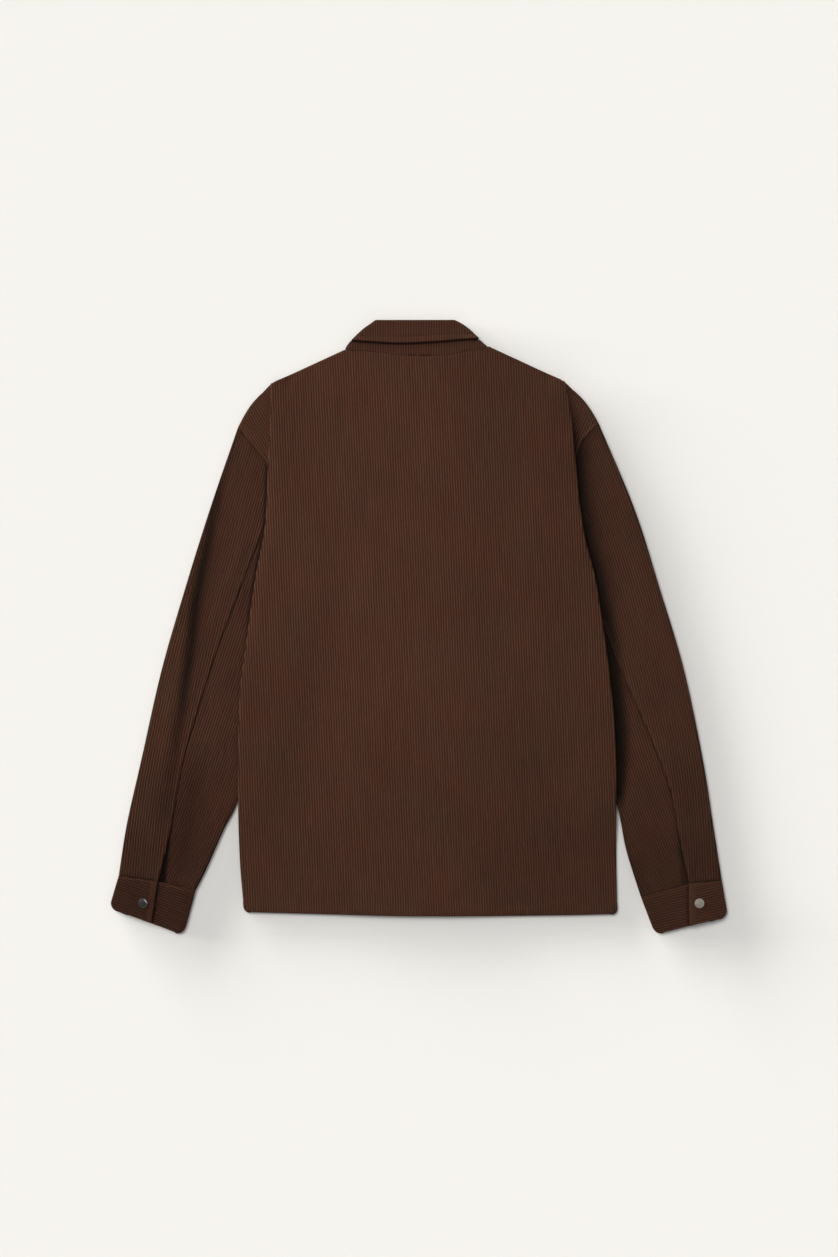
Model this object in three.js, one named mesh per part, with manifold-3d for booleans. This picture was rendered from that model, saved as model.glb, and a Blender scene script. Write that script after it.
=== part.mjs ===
// A velvet (corduroy) overshirt laid out flat: it lies on its two fronts with its back up, its sleeves
// brought down along its sides and its collar turned down.
// Millimetres. +X is the wearer's right, +Y runs from the hem to the collar, +Z is up off the surface.
// The origin is on that surface, under the middle of the whole.
//
// Every cloth piece is a wall worked out from a grid of points in the middle of the cloth. Each row of a
// grid goes across the piece and round its folds, so a sleeve or a cuff is a real flattened tube.
// Places on a side are given as "out", the distance from the middle line, and turned to x by its hand.

import * as THREE from "three";
import { mergeVertices } from "three/addons/utils/BufferGeometryUtils.js";
import Module from "manifold-3d";

const wasm = await Module();
wasm.setup();

// ---------------------------------------------------------------- driving sizes

const CLOTH = 1.8; // corduroy with its pile
const CUFF_CLOTH = 2.4; // cuffs are two plies with a stiffener
const SEAM = 0.3; // clearance between two pieces that are sewn together
const LAYER = CLOTH + SEAM; // from one layer to the next one on it
const CUFF_LAYER = CUFF_CLOTH + SEAM;
const ARC_STEPS = 4; // steps round a fold

// Heights of the middle of the cloth, from the surface up.
const LEVEL = {
  front: CLOTH / 2,
  sleeveTop: CLOTH / 2 + LAYER,
  turnedUnder: CLOTH / 2 + 2 * LAYER,
  backEdge: CLOTH / 2 + 3 * LAYER,
};

const PLACKET_WIDE = 34;
const RIGHT_FRONT_REACH = 12; // how far the right front goes past the middle, over the placket
const NECK_DROP = 62; // how much lower the front of the neck is cut than the back
const COLLAR_TURN = 8; // how far in from the collar's sides its round turn begins
const COLLAR_POINT = 34; // how much longer the leaf is at its points than at the back
const SNAP_WIDE = 12.5;
const FRONT_SNAPS = 6;
const SHOULDER_ROUND = 4; // how far the shoulder's outer end bulges past a straight line

// The outline of each side. "out" is measured from the middle line.
const SIDES = {
  left: {
    hand: -1,
    backFold: [
      { y: 316, out: 192 },
      { y: 255, out: 193.5 },
      { y: 208, out: 196 },
      { y: 130, out: 200 },
      { y: 60, out: 213 },
      { y: -12, out: 223 },
      { y: -70, out: 231 },
      { y: -126, out: 234 },
      { y: -225, out: 234.5 },
      { y: -303, out: 232.5 },
      { y: -370.5, out: 227 },
    ],
    armhole: [
      { out: 235, y: 258.5 },
      { out: 215.5, y: 235 },
      { out: 197, y: 210 },
      { out: 183, y: 175 },
      { out: 150, y: 90 },
    ],
    sleeveOuter: [
      { out: 235, y: 258.5 },
      { out: 271.5, y: 152 },
      { out: 304, y: 48 },
      { out: 334, y: -56 },
      { out: 360.5, y: -173 },
      { out: 379, y: -255 },
      { out: 389.7, y: -322.7 },
    ],
    sleeveSeam: [
      { out: 183, y: 175 },
      { out: 231, y: 51.5 },
      { out: 262, y: -32 },
      { out: 287, y: -109.5 },
      { out: 306, y: -176 },
      { out: 320, y: -254 },
      { out: 338, y: -330.5 },
    ],
    sleeveInner: [
      { out: 150, y: 90 },
      { out: 178.5, y: -15 },
      { out: 208, y: -125 },
      { out: 235, y: -225 },
      { out: 253.5, y: -264 },
      { out: 276.5, y: -316 },
      { out: 289.6, y: -341.8 },
    ],
    cuff: {
      topOuter: { out: 389.7, y: -322.7 },
      topInner: { out: 289.6, y: -341.8 },
      bottomOuter: { out: 402, y: -364.5 },
      bottomInner: { out: 305.5, y: -400.5 },
      overlapEnd: { top: 0.505, bottom: 0.574 },
      snap: { across: 0.4, down: 0.58 },
    },
    shoulderTip: { out: 235, y: 258.5 },
    neckTip: { out: 95.5, y: 360 },
    hemCorner: -370.5,
  },
  right: {
    hand: 1,
    backFold: [
      { y: 319, out: 189 },
      { y: 290, out: 196 },
      { y: 236, out: 202 },
      { y: 165, out: 208.5 },
      { y: 110, out: 217 },
      { y: 65, out: 229 },
      { y: -8, out: 240.5 },
      { y: -80, out: 250 },
      { y: -150, out: 255.5 },
      { y: -225, out: 256.5 },
      { y: -303, out: 256.5 },
      { y: -373, out: 258 },
    ],
    armhole: [
      { out: 234, y: 263.5 },
      { out: 221, y: 251 },
      { out: 208.5, y: 234 },
      { out: 188, y: 172 },
      { out: 157, y: 86 },
    ],
    sleeveOuter: [
      { out: 234, y: 263.5 },
      { out: 280.5, y: 152 },
      { out: 313.5, y: 48 },
      { out: 344.5, y: -56 },
      { out: 369, y: -173 },
      { out: 382, y: -255 },
      { out: 393.5, y: -329 },
    ],
    sleeveSeam: [
      { out: 188, y: 172 },
      { out: 228, y: 40 },
      { out: 265, y: -60 },
      { out: 301, y: -143 },
      { out: 326, y: -209 },
      { out: 340, y: -281.5 },
      { out: 351.3, y: -333 },
    ],
    sleeveInner: [
      { out: 157, y: 86 },
      { out: 192, y: -25 },
      { out: 229, y: -140 },
      { out: 257.5, y: -232 },
      { out: 269.5, y: -290 },
      { out: 288.5, y: -351 },
    ],
    cuff: {
      topOuter: { out: 393.5, y: -329 },
      topInner: { out: 288.5, y: -351 },
      bottomOuter: { out: 401.5, y: -376 },
      bottomInner: { out: 307, y: -399.5 },
      overlapEnd: { top: 0.401, bottom: 0.533 },
      snap: { across: 0.33, down: 0.5 },
    },
    shoulderTip: { out: 234, y: 263.5 },
    neckTip: { out: 91, y: 364 },
    hemCorner: -373,
  },
};

// The back's lower edge and its neck seam, across x.
const HEM_LINE = [
  { x: -227, y: -370.5 },
  { x: -115, y: -373.5 },
  { x: 2, y: -376 },
  { x: 184, y: -374.7 },
  { x: 258, y: -373 },
];
const HEM_CORNER = 8; // how much of each side the back's round lower corners take
const NECK_LINE = [
  { x: -95.5, y: 360 },
  { x: -63, y: 357 },
  { x: -24, y: 352 },
  { x: 28, y: 351.5 },
  { x: 56, y: 356 },
  { x: 91, y: 364 },
];

// The collar's outline: how far it reaches each way at each height.
const COLLAR_SIDES = [
  { y: 351, left: 96, right: 92 },
  { y: 361, left: 95.5, right: 92 },
  { y: 370.5, left: 89, right: 82.5 },
  { y: 386, left: 73.5, right: 66.5 },
  { y: 397.5, left: 57, right: 51 },
];
const COLLAR_ROLL = 397.5; // the top of the turned collar
// The lower edge of the collar's leaf at the back.
const LEAF_EDGE = [
  { x: -88, y: 371.5 },
  { x: -66, y: 370 },
  { x: -26, y: 367.8 },
  { x: 19, y: 369.6 },
  { x: 56, y: 372.6 },
  { x: 82, y: 374 },
];

// The largest soft folds: where each runs, how wide it is each way and how much it lifts the cloth.
const FOLDS = [
  { on: "left", x0: -258, y0: 200, x1: -284, y1: 68, wide: 15, lift: -0.7 },
  { on: "left", x0: -284, y0: 68, x1: -322, y1: -145, wide: 13, lift: -0.9 },
  { on: "left", x0: -214, y0: 135, x1: -300, y1: -120, wide: 9, lift: 0.8 },
  { on: "left", x0: -212, y0: 95, x1: -238, y1: -30, wide: 8, lift: 0.5 },
  { on: "left", x0: -345, y0: -180, x1: -362, y1: -300, wide: 12, lift: 0.5 },
  { on: "right", x0: 232, y0: 150, x1: 262, y1: 20, wide: 10, lift: -0.8 },
  { on: "right", x0: 262, y0: 170, x1: 318, y1: -60, wide: 14, lift: 0.6 },
  { on: "right", x0: 278, y0: -60, x1: 338, y1: -215, wide: 9, lift: 0.8 },
  { on: "right", x0: 352, y0: -150, x1: 366, y1: -300, wide: 12, lift: -0.6 },
  { on: "back", x0: -150, y0: 255, x1: -70, y1: 60, wide: 26, lift: 0.5 },
  { on: "back", x0: 160, y0: 230, x1: 120, y1: -60, wide: 24, lift: 0.5 },
  { on: "back", x0: 60, y0: -120, x1: 150, y1: -350, wide: 28, lift: 0.4 },
];

// ---------------------------------------------------------------- colours

const colours = {
  cloth: new THREE.MeshStandardMaterial({ color: 0x462d23, roughness: 0.9, metalness: 0 }),
  darkMetal: new THREE.MeshStandardMaterial({ color: 0x3b3834, roughness: 0.35, metalness: 1 }),
};

// ---------------------------------------------------------------- helpers

const mix = (a, b, t) => a + (b - a) * t;

/** 0 at low, 1 at high, with soft ends; low may be the larger. */
function ease(value, low, high) {
  const t = Math.min(1, Math.max(0, (value - low) / (high - low)));
  return t * t * (3 - 2 * t);
}

/** Column `column` of a table, read smoothly along its column `key`, which may rise or fall. */
function read(table, key, column, at) {
  const rows = table[0][key] < table[table.length - 1][key] ? table : [...table].reverse();
  const clamped = Math.min(rows[rows.length - 1][key], Math.max(rows[0][key], at));
  const next = Math.max(1, rows.findIndex((row) => row[key] >= clamped));
  const [a, b] = [rows[next - 1], rows[next]];
  const before = rows[next - 2] ?? a;
  const after = rows[next + 1] ?? b;
  const span = b[key] - a[key];
  const slopeA = ((b[column] - before[column]) / (b[key] - before[key])) * span;
  const slopeB = ((after[column] - a[column]) / (after[key] - a[key])) * span;
  const t = (clamped - a[key]) / span;
  return (
    a[column] * (1 + 2 * t) * (1 - t) ** 2 +
    slopeA * t * (1 - t) ** 2 +
    b[column] * t * t * (3 - 2 * t) -
    slopeB * t * t * (1 - t)
  );
}

/** How far a row at v has bent towards the piece's outline: 0 up to `start`, 1 at v = 1. */
const bendAt = (v, start, past) => ease(v, start, past) / ease(1, start, past);

const plane = ({ out, y }) => new THREE.Vector2(out, y);
const along = (rows) => new THREE.SplineCurve(rows.map(plane));
const span = (from, to, steps) => Array.from({ length: steps + 1 }, (_, i) => mix(from, to, i / steps));

/** How much the folds of one piece lift the cloth at a place. Each fades to nothing at its two ends. */
function foldLift(piece, x, y) {
  let total = 0;
  for (const fold of FOLDS.filter(({ on }) => on === piece)) {
    const run = new THREE.Vector2(fold.x1 - fold.x0, fold.y1 - fold.y0);
    const from = new THREE.Vector2(x - fold.x0, y - fold.y0);
    const t = Math.min(1, Math.max(0, from.dot(run) / run.lengthSq()));
    const apart = from.addScaledVector(run, -t).length() / fold.wide;
    total += fold.lift * Math.exp(-apart * apart) * Math.sin(Math.PI * mix(0.08, 0.92, t));
  }
  return total;
}

/** The way a fold faces in plan: square to its line where that passes `at`, away from `inside`. */
function squareTo(line, at, inside) {
  const [from, to] = [line(Math.max(0, at - 0.01)), line(Math.min(1, at + 0.01))];
  const way = new THREE.Vector2(to.y - from.y, from.x - to.x).normalize();
  return way.dot(line(at).sub(inside)) < 0 ? way.negate() : way;
}

/** Points round a half turn of the cloth. `edge` is the outermost place it reaches, `away` points there. */
function halfTurn(edge, away, fromZ, toZ, thick) {
  const radius = Math.abs(fromZ - toZ) / 2;
  const centre = edge.clone().addScaledVector(away, -(radius + thick / 2));
  return span(0, Math.PI, ARC_STEPS).map((angle) => {
    const place = centre.clone().addScaledVector(away, radius * Math.sin(angle));
    return new THREE.Vector3(place.x, place.y, mix(fromZ, toZ, (1 - Math.cos(angle)) / 2));
  });
}

/** A closed wall of the given thickness, half of it on each side of a grid of points. */
function wall(grid, thick) {
  const rows = grid.length;
  const columns = grid[0].length;
  const at = (r, c) => grid[Math.min(rows - 1, Math.max(0, r))][Math.min(columns - 1, Math.max(0, c))];
  const positions = [];
  for (const side of [1, -1]) {
    for (let r = 0; r < rows; r++) {
      for (let c = 0; c < columns; c++) {
        const across = at(r, c + 1).clone().sub(at(r, c - 1));
        const down = at(r + 1, c).clone().sub(at(r - 1, c));
        const normal = across.cross(down).normalize();
        const point = at(r, c).clone().addScaledVector(normal, (side * thick) / 2);
        positions.push(point.x, point.y, Math.max(0, point.z));
      }
    }
  }
  const index = [];
  const id = (layer, r, c) => layer * rows * columns + r * columns + c;
  const quad = (a, b, c, d) => index.push(a, b, c, a, c, d);
  for (let r = 0; r < rows - 1; r++) {
    for (let c = 0; c < columns - 1; c++) {
      quad(id(0, r, c), id(0, r, c + 1), id(0, r + 1, c + 1), id(0, r + 1, c));
      quad(id(1, r, c), id(1, r + 1, c), id(1, r + 1, c + 1), id(1, r, c + 1));
    }
  }
  for (let r = 0; r < rows - 1; r++) {
    quad(id(0, r, 0), id(0, r + 1, 0), id(1, r + 1, 0), id(1, r, 0));
    quad(id(0, r, columns - 1), id(1, r, columns - 1), id(1, r + 1, columns - 1), id(0, r + 1, columns - 1));
  }
  for (let c = 0; c < columns - 1; c++) {
    quad(id(0, 0, c), id(1, 0, c), id(1, 0, c + 1), id(0, 0, c + 1));
    quad(id(0, rows - 1, c), id(0, rows - 1, c + 1), id(1, rows - 1, c + 1), id(1, rows - 1, c));
  }
  const geometry = new THREE.BufferGeometry();
  geometry.setAttribute("position", new THREE.Float32BufferAttribute(positions, 3));
  geometry.setIndex(index);
  if (signedVolume(geometry) < 0) {
    const turned = [];
    for (let i = 0; i < index.length; i += 3) turned.push(index[i], index[i + 2], index[i + 1]);
    geometry.setIndex(turned);
  }
  return geometry;
}

function signedVolume(geometry) {
  const p = geometry.attributes.position;
  const { array } = geometry.index;
  const [a, b, c] = [new THREE.Vector3(), new THREE.Vector3(), new THREE.Vector3()];
  let total = 0;
  for (let i = 0; i < array.length; i += 3) {
    a.fromBufferAttribute(p, array[i]);
    b.fromBufferAttribute(p, array[i + 1]);
    c.fromBufferAttribute(p, array[i + 2]);
    total += a.dot(b.cross(c)) / 6;
  }
  return total;
}

function solidOf(geometry) {
  const bare = geometry.clone();
  bare.deleteAttribute("normal");
  bare.deleteAttribute("uv");
  const merged = mergeVertices(bare, 1e-4);
  const mesh = { numProp: 3, vertProperties: merged.attributes.position.array, triVerts: merged.index.array };
  return new wasm.Manifold(new wasm.Mesh(mesh));
}

function geometryOf(solid) {
  const { vertProperties, triVerts } = solid.getMesh();
  const geometry = new THREE.BufferGeometry();
  geometry.setAttribute("position", new THREE.BufferAttribute(new Float32Array(vertProperties), 3));
  geometry.setIndex(new THREE.BufferAttribute(new Uint32Array(triVerts), 1));
  return geometry;
}

/** A solid without its upright corner at `corner`, whose sides run on to the places in `ends`.
 *  The round takes `reach` of each side. */
function roundCorner(solid, corner, ends, reach) {
  const [one, other] = ends.map((end) => end.clone().sub(corner).setLength(reach));
  const start = corner.clone().add(one);
  const end = corner.clone().add(other);
  const outline = new THREE.Shape();
  outline.moveTo(start.x, start.y);
  outline.quadraticCurveTo(corner.x, corner.y, end.x, end.y);
  for (const place of [end.clone().sub(one), corner.clone().sub(one).sub(other), start.clone().sub(other)]) {
    outline.lineTo(place.x, place.y);
  }
  const upright = { depth: 30, bevelEnabled: false, curveSegments: 5 };
  return solid.subtract(solidOf(new THREE.ExtrudeGeometry(outline, upright).translate(0, 0, -5)));
}

const overshirt = new THREE.Group();

function add(name, geometry, material) {
  const mesh = new THREE.Mesh(geometry, material);
  mesh.name = name;
  overshirt.add(mesh);
  return mesh;
}

// ---------------------------------------------------------------- how the layers lie on each other

const foldOut = (side, y) => read(side.backFold, "y", "out", y);
const armholeOut = (side, y) => read(side.armhole, "y", "out", y);
const underarm = (side) => side.armhole[side.armhole.length - 1];
const sleeveInnerOut = (side, y) => read(side.sleeveInner, "y", "out", y);

const TUCK_AT_SHOULDER = 6; // how deep the back's tuck is where it starts at the shoulder
const TUCK_PAST_UNDERARM = 12; // how far it goes in past the underarm
const STEP_DOWN = 14; // the length in which the turned-under cloth comes down beside the sleeve
const EDGE_SETTLES = { from: -230, to: -292 }; // where the body's edge comes down past the sleeve
const EDGE_SLOPE = 62; // how wide the back takes to rise to its edge

/** Where the cloth turned under at the back's fold ends: at a second fold, or lower down the side seam. */
function turnEnd(side, y) {
  const under = underarm(side);
  const top = side.backFold[0];
  if (y >= under.y) {
    const t = (y - under.y) / (top.y - under.y);
    return mix(under.out - TUCK_PAST_UNDERARM, top.out - TUCK_AT_SHOULDER, t);
  }
  const besideSleeve = sleeveInnerOut(side, y) - STEP_DOWN;
  return Math.min(besideSleeve, foldOut(side, y) - STEP_DOWN);
}

/** 1 where the body's edge lies on the sleeve, 0 where it lies on the surface. */
const raised = (y) => 1 - ease(y, EDGE_SETTLES.from, EDGE_SETTLES.to);
const turnedLevel = (y) => mix(LEVEL.front, LEVEL.turnedUnder, raised(y));

/** Where the collar's front half lies under the fronts and lifts them. */
const OVER_COLLAR = { lowY: 185, highY: 265, outside: 158, inside: 98 };
const overCollar = (x, y) =>
  ease(y, OVER_COLLAR.lowY, OVER_COLLAR.highY) * ease(Math.abs(x), OVER_COLLAR.outside, OVER_COLLAR.inside);

function frontLevel(x, y) {
  return LEVEL.front + LAYER * overCollar(x, y);
}

const shoulderOf = (x) => (x < 0 ? SIDES.left : SIDES.right);

/** The body's upper outline: the neck seam in the middle and the shoulder lines beside it. */
function topLine(x) {
  const side = shoulderOf(x);
  const out = Math.abs(x);
  if (out <= side.neckTip.out) return read(NECK_LINE, "x", "y", x);
  const apex = side.backFold[0];
  return mix(side.neckTip.y, apex.y, (out - side.neckTip.out) / (apex.out - side.neckTip.out));
}

// The back comes down slowly from what lies under it: the placket's overlap, and the lifted fronts.
const FROM_PLACKET = { outside: 150, inside: 32 };
const FROM_COLLAR = { lowY: 110, highY: 235, outside: 175, inside: 115 };
const SHOULDER_SEAM = { start: -3, full: 10, fades: 164, ends: 184, fadesIn: 26, meets: 3 };

/** The height of the middle of the back's cloth. */
function backLevel(x, y) {
  const side = shoulderOf(x);
  const out = Math.abs(x);
  const overPlacket = LAYER * ease(out, FROM_PLACKET.outside, FROM_PLACKET.inside);
  const byCollar = ease(out, FROM_COLLAR.outside, FROM_COLLAR.inside);
  const overCollarBand = LAYER * ease(y, FROM_COLLAR.lowY, FROM_COLLAR.highY) * byCollar;
  const middle = LEVEL.sleeveTop + overPlacket + overCollarBand + foldLift("back", x, y);
  const support = Math.min(turnEnd(side, y), foldOut(side, y) - STEP_DOWN / 2);
  const level = mix(middle, turnedLevel(y) + LAYER, ease(out, support - EDGE_SLOPE, support));
  const pastNeck = out - side.neckTip.out;
  const alongSeam = ease(pastNeck, SHOULDER_SEAM.start, SHOULDER_SEAM.full);
  const beforeTuck = ease(out, SHOULDER_SEAM.ends, SHOULDER_SEAM.fades);
  const nearSeam = ease(topLine(x) - y, SHOULDER_SEAM.fadesIn, SHOULDER_SEAM.meets) * alongSeam * beforeTuck;
  return mix(level, frontLevel(x, y) + LAYER + SEAM, nearSeam);
}

// ---------------------------------------------------------------- the back

const MAIN_COLUMNS = 18;
const HIDDEN_COLUMNS = 3;
const BELOW_UNDERARM = 22; // how far under the underarm the rows change from armhole to side seam
// Rows run from -1 at the hem to 0 just under the underarm and 1 at the shoulder.
const BACK_ROWS = [-1, -0.96, ...span(-0.9, 0.06, 13), 0.19, 0.27, 0.36, 0.45, 0.55, 0.66, 0.77, 0.88, 1];

/** The part of one row at one side: from the armhole or side seam, under the back, to the back's fold. */
function turnedUnder(side, y) {
  const edge = new THREE.Vector2(foldOut(side, y), y);
  const away = new THREE.Vector2(1, 0);
  const upper = backLevel(side.hand * edge.x, y);
  const level = turnedLevel(y);
  const turn = halfTurn(edge, away, level, upper, CLOTH);
  const end = turnEnd(side, y);
  const hidden = [];
  if (y > underarm(side).y) {
    const second = new THREE.Vector2(end, y);
    const t = (y - underarm(side).y) / (side.backFold[0].y - underarm(side).y);
    const seam = armholePoint(side, t);
    const inward = halfTurn(second, new THREE.Vector2(-1, 0), LEVEL.sleeveTop, level, CLOTH);
    const start = new THREE.Vector2(inward[0].x, inward[0].y);
    for (const c of span(0, 1, HIDDEN_COLUMNS).slice(0, -1)) {
      const bulge = SHOULDER_ROUND * Math.sin(Math.PI * c) * t ** 6;
      const place = seam.clone().lerp(start, c);
      hidden.push(new THREE.Vector3(place.x + bulge, place.y + bulge, LEVEL.sleeveTop));
    }
    hidden.push(...inward);
  } else {
    const length = Math.min(STEP_DOWN, turn[0].x - end - 2);
    for (const c of span(0, 1, HIDDEN_COLUMNS + ARC_STEPS)) {
      const z = mix(LEVEL.front, level, ease(c, 0, 1));
      hidden.push(new THREE.Vector3(end + length * c, y, z));
    }
  }
  const last = hidden[hidden.length - 1];
  const between = span(0, 1, HIDDEN_COLUMNS)
    .slice(1, -1)
    .map((c) => new THREE.Vector3(mix(last.x, turn[0].x, c), y, level));
  return [...hidden, ...between, ...turn];
}

/** A point of the armhole seam, 0 at the underarm and 1 at the shoulder, just inside the seam. */
function armholePoint(side, t) {
  const seam = along(side.armhole);
  return seam.getPointAt(1 - t).add(new THREE.Vector2(-2 * SEAM, -SEAM));
}

function backRow(v) {
  const rowY = (side) => {
    const under = underarm(side);
    const low = side.hemCorner;
    const middle = under.y - BELOW_UNDERARM;
    return v < 0 ? mix(middle, low, -v) : mix(middle, side.backFold[0].y, v);
  };
  const [left, right] = [SIDES.left, SIDES.right];
  const [leftRow, rightRow] = [turnedUnder(left, rowY(left)), turnedUnder(right, rowY(right))];
  const inX = (side) => (point) => new THREE.Vector3(side.hand * point.x, point.y, point.z);
  const start = leftRow[leftRow.length - 1];
  const end = rightRow[rightRow.length - 1];
  const main = span(0, 1, MAIN_COLUMNS)
    .slice(1, -1)
    .map((u) => {
      const x = mix(-start.x, end.x, u);
      const base = mix(start.y, end.y, u);
      const apexY = mix(left.backFold[0].y, right.backFold[0].y, u);
      const cornerY = mix(left.hemCorner, right.hemCorner, u);
      const up = bendAt(v, 0.35, 1.25);
      const down = bendAt(-v, 0.6, 1.2);
      const bentUp = up * (topLine(x) - SEAM - apexY);
      const bentDown = down * (read(HEM_LINE, "x", "y", x) - cornerY);
      const y = base + (v > 0 ? bentUp : bentDown);
      return new THREE.Vector3(x, y, backLevel(x, y));
    });
  return [...leftRow.map(inX(left)), ...main, ...rightRow.map(inX(right)).reverse()];
}

let back = solidOf(wall(BACK_ROWS.map(backRow), CLOTH));
for (const side of [SIDES.left, SIDES.right]) {
  const place = (out, y) => new THREE.Vector2(side.hand * out, y);
  const low = side.hemCorner;
  const out = foldOut(side, low);
  const alongHem = place(out - 60, read(HEM_LINE, "x", "y", side.hand * (out - 60)));
  back = roundCorner(back, place(out, low), [place(foldOut(side, low + 60), low + 60), alongHem], HEM_CORNER);
}
add("back", geometryOf(back), colours.cloth);

// ---------------------------------------------------------------- the fronts and the placket

const FRONT_COLUMNS = 9;
const FRONT_ROWS = [...span(0, 0.62, 9), 0.7, 0.73, 0.78, 0.84, ...span(0.9, 1, 5)];
// The front's underarm corner is kept clear of the cloth that comes down there.
const FRONT_CORNER = { cut: 6, from: -34, to: -12, back: 3, done: 22 };
const FRONT_NECK_GAP = 5 * SEAM;

/** The front's outer edge: the side seam up to the underarm, then the armhole seam. */
function frontEdgeOut(side, y) {
  const under = underarm(side);
  const corner = under.out - TUCK_PAST_UNDERARM - FRONT_CORNER.cut;
  const past = y - under.y;
  if (past <= 0) {
    const sideSeam = turnEnd(side, y) - CLOTH / 2 - SEAM;
    return mix(sideSeam, corner, ease(past, FRONT_CORNER.from, FRONT_CORNER.to));
  }
  return mix(corner, armholeOut(side, y) - 2 * SEAM, ease(past, FRONT_CORNER.back, FRONT_CORNER.done));
}

/** The front's upper outline: the shoulder line, then the neck, which is cut lower than at the back. */
function frontTop(side, out) {
  const tip = side.shoulderTip;
  const apex = side.backFold[0];
  if (out > apex.out) {
    const t = (out - apex.out) / (tip.out - apex.out);
    return mix(apex.y, tip.y, t) + SHOULDER_ROUND * Math.sin(Math.PI * t);
  }
  if (out > side.neckTip.out) return topLine(side.hand * out);
  return read(NECK_LINE, "x", "y", side.hand * out) - neckDrop(side.hand * out) - FRONT_NECK_GAP;
}

/** How much lower the neck is at the front than at the back, at a place across it. */
function neckDrop(x, reach = shoulderOf(x).neckTip.out - COLLAR_TURN) {
  return NECK_DROP * Math.max(0, 1 - (x / reach) ** 2);
}

/** A front's grid. Its columns run from its outer edge to the first of `innerXs`, then at each of them. */
function front(side, innerXs, levelAt) {
  const tip = side.shoulderTip;
  const columnsAt = (edge) => [
    ...span(side.hand * edge, innerXs[0], FRONT_COLUMNS).slice(0, -1),
    ...innerXs,
  ];
  const topXs = columnsAt(tip.out - SEAM);
  return FRONT_ROWS.map((v) => {
    const edgeY = mix(side.hemCorner, tip.y, v);
    const edge = v === 1 ? tip.out - SEAM : frontEdgeOut(side, edgeY);
    const rise = bendAt(v, 0.45, 1.3);
    const fall = bendAt(1 - v, 0.7, 1.1);
    return columnsAt(edge).map((x, column) => {
      const up = rise * (frontTop(side, side.hand * topXs[column]) - tip.y);
      const down = fall * (read(HEM_LINE, "x", "y", x) - side.hemCorner);
      const y = edgeY + (v > 0.5 ? up : down);
      return new THREE.Vector3(x, y, levelAt(x, y));
    });
  });
}

const placketEdge = PLACKET_WIDE / 2;
add("front_left", wall(front(SIDES.left, [-placketEdge - SEAM], frontLevel), CLOTH), colours.cloth);

/** The right front lies on the placket in the middle, one layer up. */
const onPlacket = { from: placketEdge + 16, to: placketEdge + 3 };
const rightFrontLevel = (x, y) => frontLevel(x, y) + LAYER * ease(x, onPlacket.from, onPlacket.to);
const rightFrontXs = [...span(onPlacket.from, onPlacket.to, 2), -RIGHT_FRONT_REACH];
add("front_right", wall(front(SIDES.right, rightFrontXs, rightFrontLevel), CLOTH), colours.cloth);

const placketTop = frontTop(SIDES.left, 0) - 2;
const placketBottom = read(HEM_LINE, "x", "y", 0);
const placketRows = [...span(placketBottom, 150, 4), ...span(180, placketTop, 7)];
const FRONT_SNAP_ROW = { aboveHem: 62, top: 205 };
const placketGrid = placketRows.map((y) =>
  span(-placketEdge, placketEdge, 3).map((x) => new THREE.Vector3(x, y, frontLevel(0, y))),
);
const snapHole = (y) => {
  const hole = new THREE.CylinderGeometry(SNAP_WIDE / 2 + SEAM, SNAP_WIDE / 2 + SEAM, 3 * CLOTH, 20);
  return solidOf(hole.rotateX(Math.PI / 2).translate(0, y, CLOTH / 2));
};
const snapYs = span(placketBottom + FRONT_SNAP_ROW.aboveHem, FRONT_SNAP_ROW.top, FRONT_SNAPS - 1);
let placket = solidOf(wall(placketGrid, CLOTH));
for (const y of snapYs) placket = placket.subtract(snapHole(y));
add("front_placket", geometryOf(placket), colours.cloth);

/** A snap's cap: a low dome with a rolled rim. */
function snapCap(high) {
  const radius = SNAP_WIDE / 2;
  const profile = [
    [0, 0],
    [radius - 0.5, 0],
    [radius, high * 0.35],
    [radius - 0.35, high * 0.75],
    [radius - 1.4, high * 0.7],
    [radius * 0.5, high * 0.95],
    [0, high],
  ];
  const lathe = new THREE.LatheGeometry(profile.map(([x, y]) => new THREE.Vector2(x, y)), 20);
  lathe.deleteAttribute("normal");
  lathe.deleteAttribute("uv");
  return mergeVertices(lathe, 1e-4).rotateX(Math.PI / 2);
}

// The front's snaps are pressed through the placket and lie flush with the side that faces the surface.
snapYs.forEach((y, i) => {
  const disc = new THREE.CylinderGeometry(SNAP_WIDE / 2, SNAP_WIDE / 2, CLOTH, 20);
  disc.rotateX(Math.PI / 2).translate(0, y, CLOTH / 2);
  add(`front_snap_${i + 1}`, disc, colours.darkMetal);
});

// ---------------------------------------------------------------- the sleeves

const SLEEVE_ROWS = span(0, 1, 13);
// Places across a sleeve are shares, 0 at its outer fold and 1 at its inner fold.
const SEAM_SHARE = 0.55; // the back seam
const FRONT_SEAM_SHARE = 0.42; // the front seam, on the side that faces the surface
const SLEEVE_SEAM_SHARE = 0.0018; // how far down its length the sleeve starts, clear of the armhole seam
const SLEEVE_PUFF = 1.3; // how much the upper layer stands off the lower one where nothing presses on it

/** A smooth patch between four curves that meet at its corners. */
function patch(top, bottom, outer, inner) {
  const at = (curve, t) => curve.getPointAt(Math.min(1, Math.max(0, t)));
  const corners = [at(top, 0), at(top, 1), at(bottom, 0), at(bottom, 1)];
  return (w, v) => {
    const point = new THREE.Vector2();
    point.addScaledVector(at(top, w), 1 - v).addScaledVector(at(bottom, w), v);
    point.addScaledVector(at(outer, v), 1 - w).addScaledVector(at(inner, v), w);
    point.addScaledVector(corners[0], -(1 - w) * (1 - v)).addScaledVector(corners[1], -w * (1 - v));
    return point.addScaledVector(corners[2], -(1 - w) * v).addScaledVector(corners[3], -w * v);
  };
}

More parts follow.
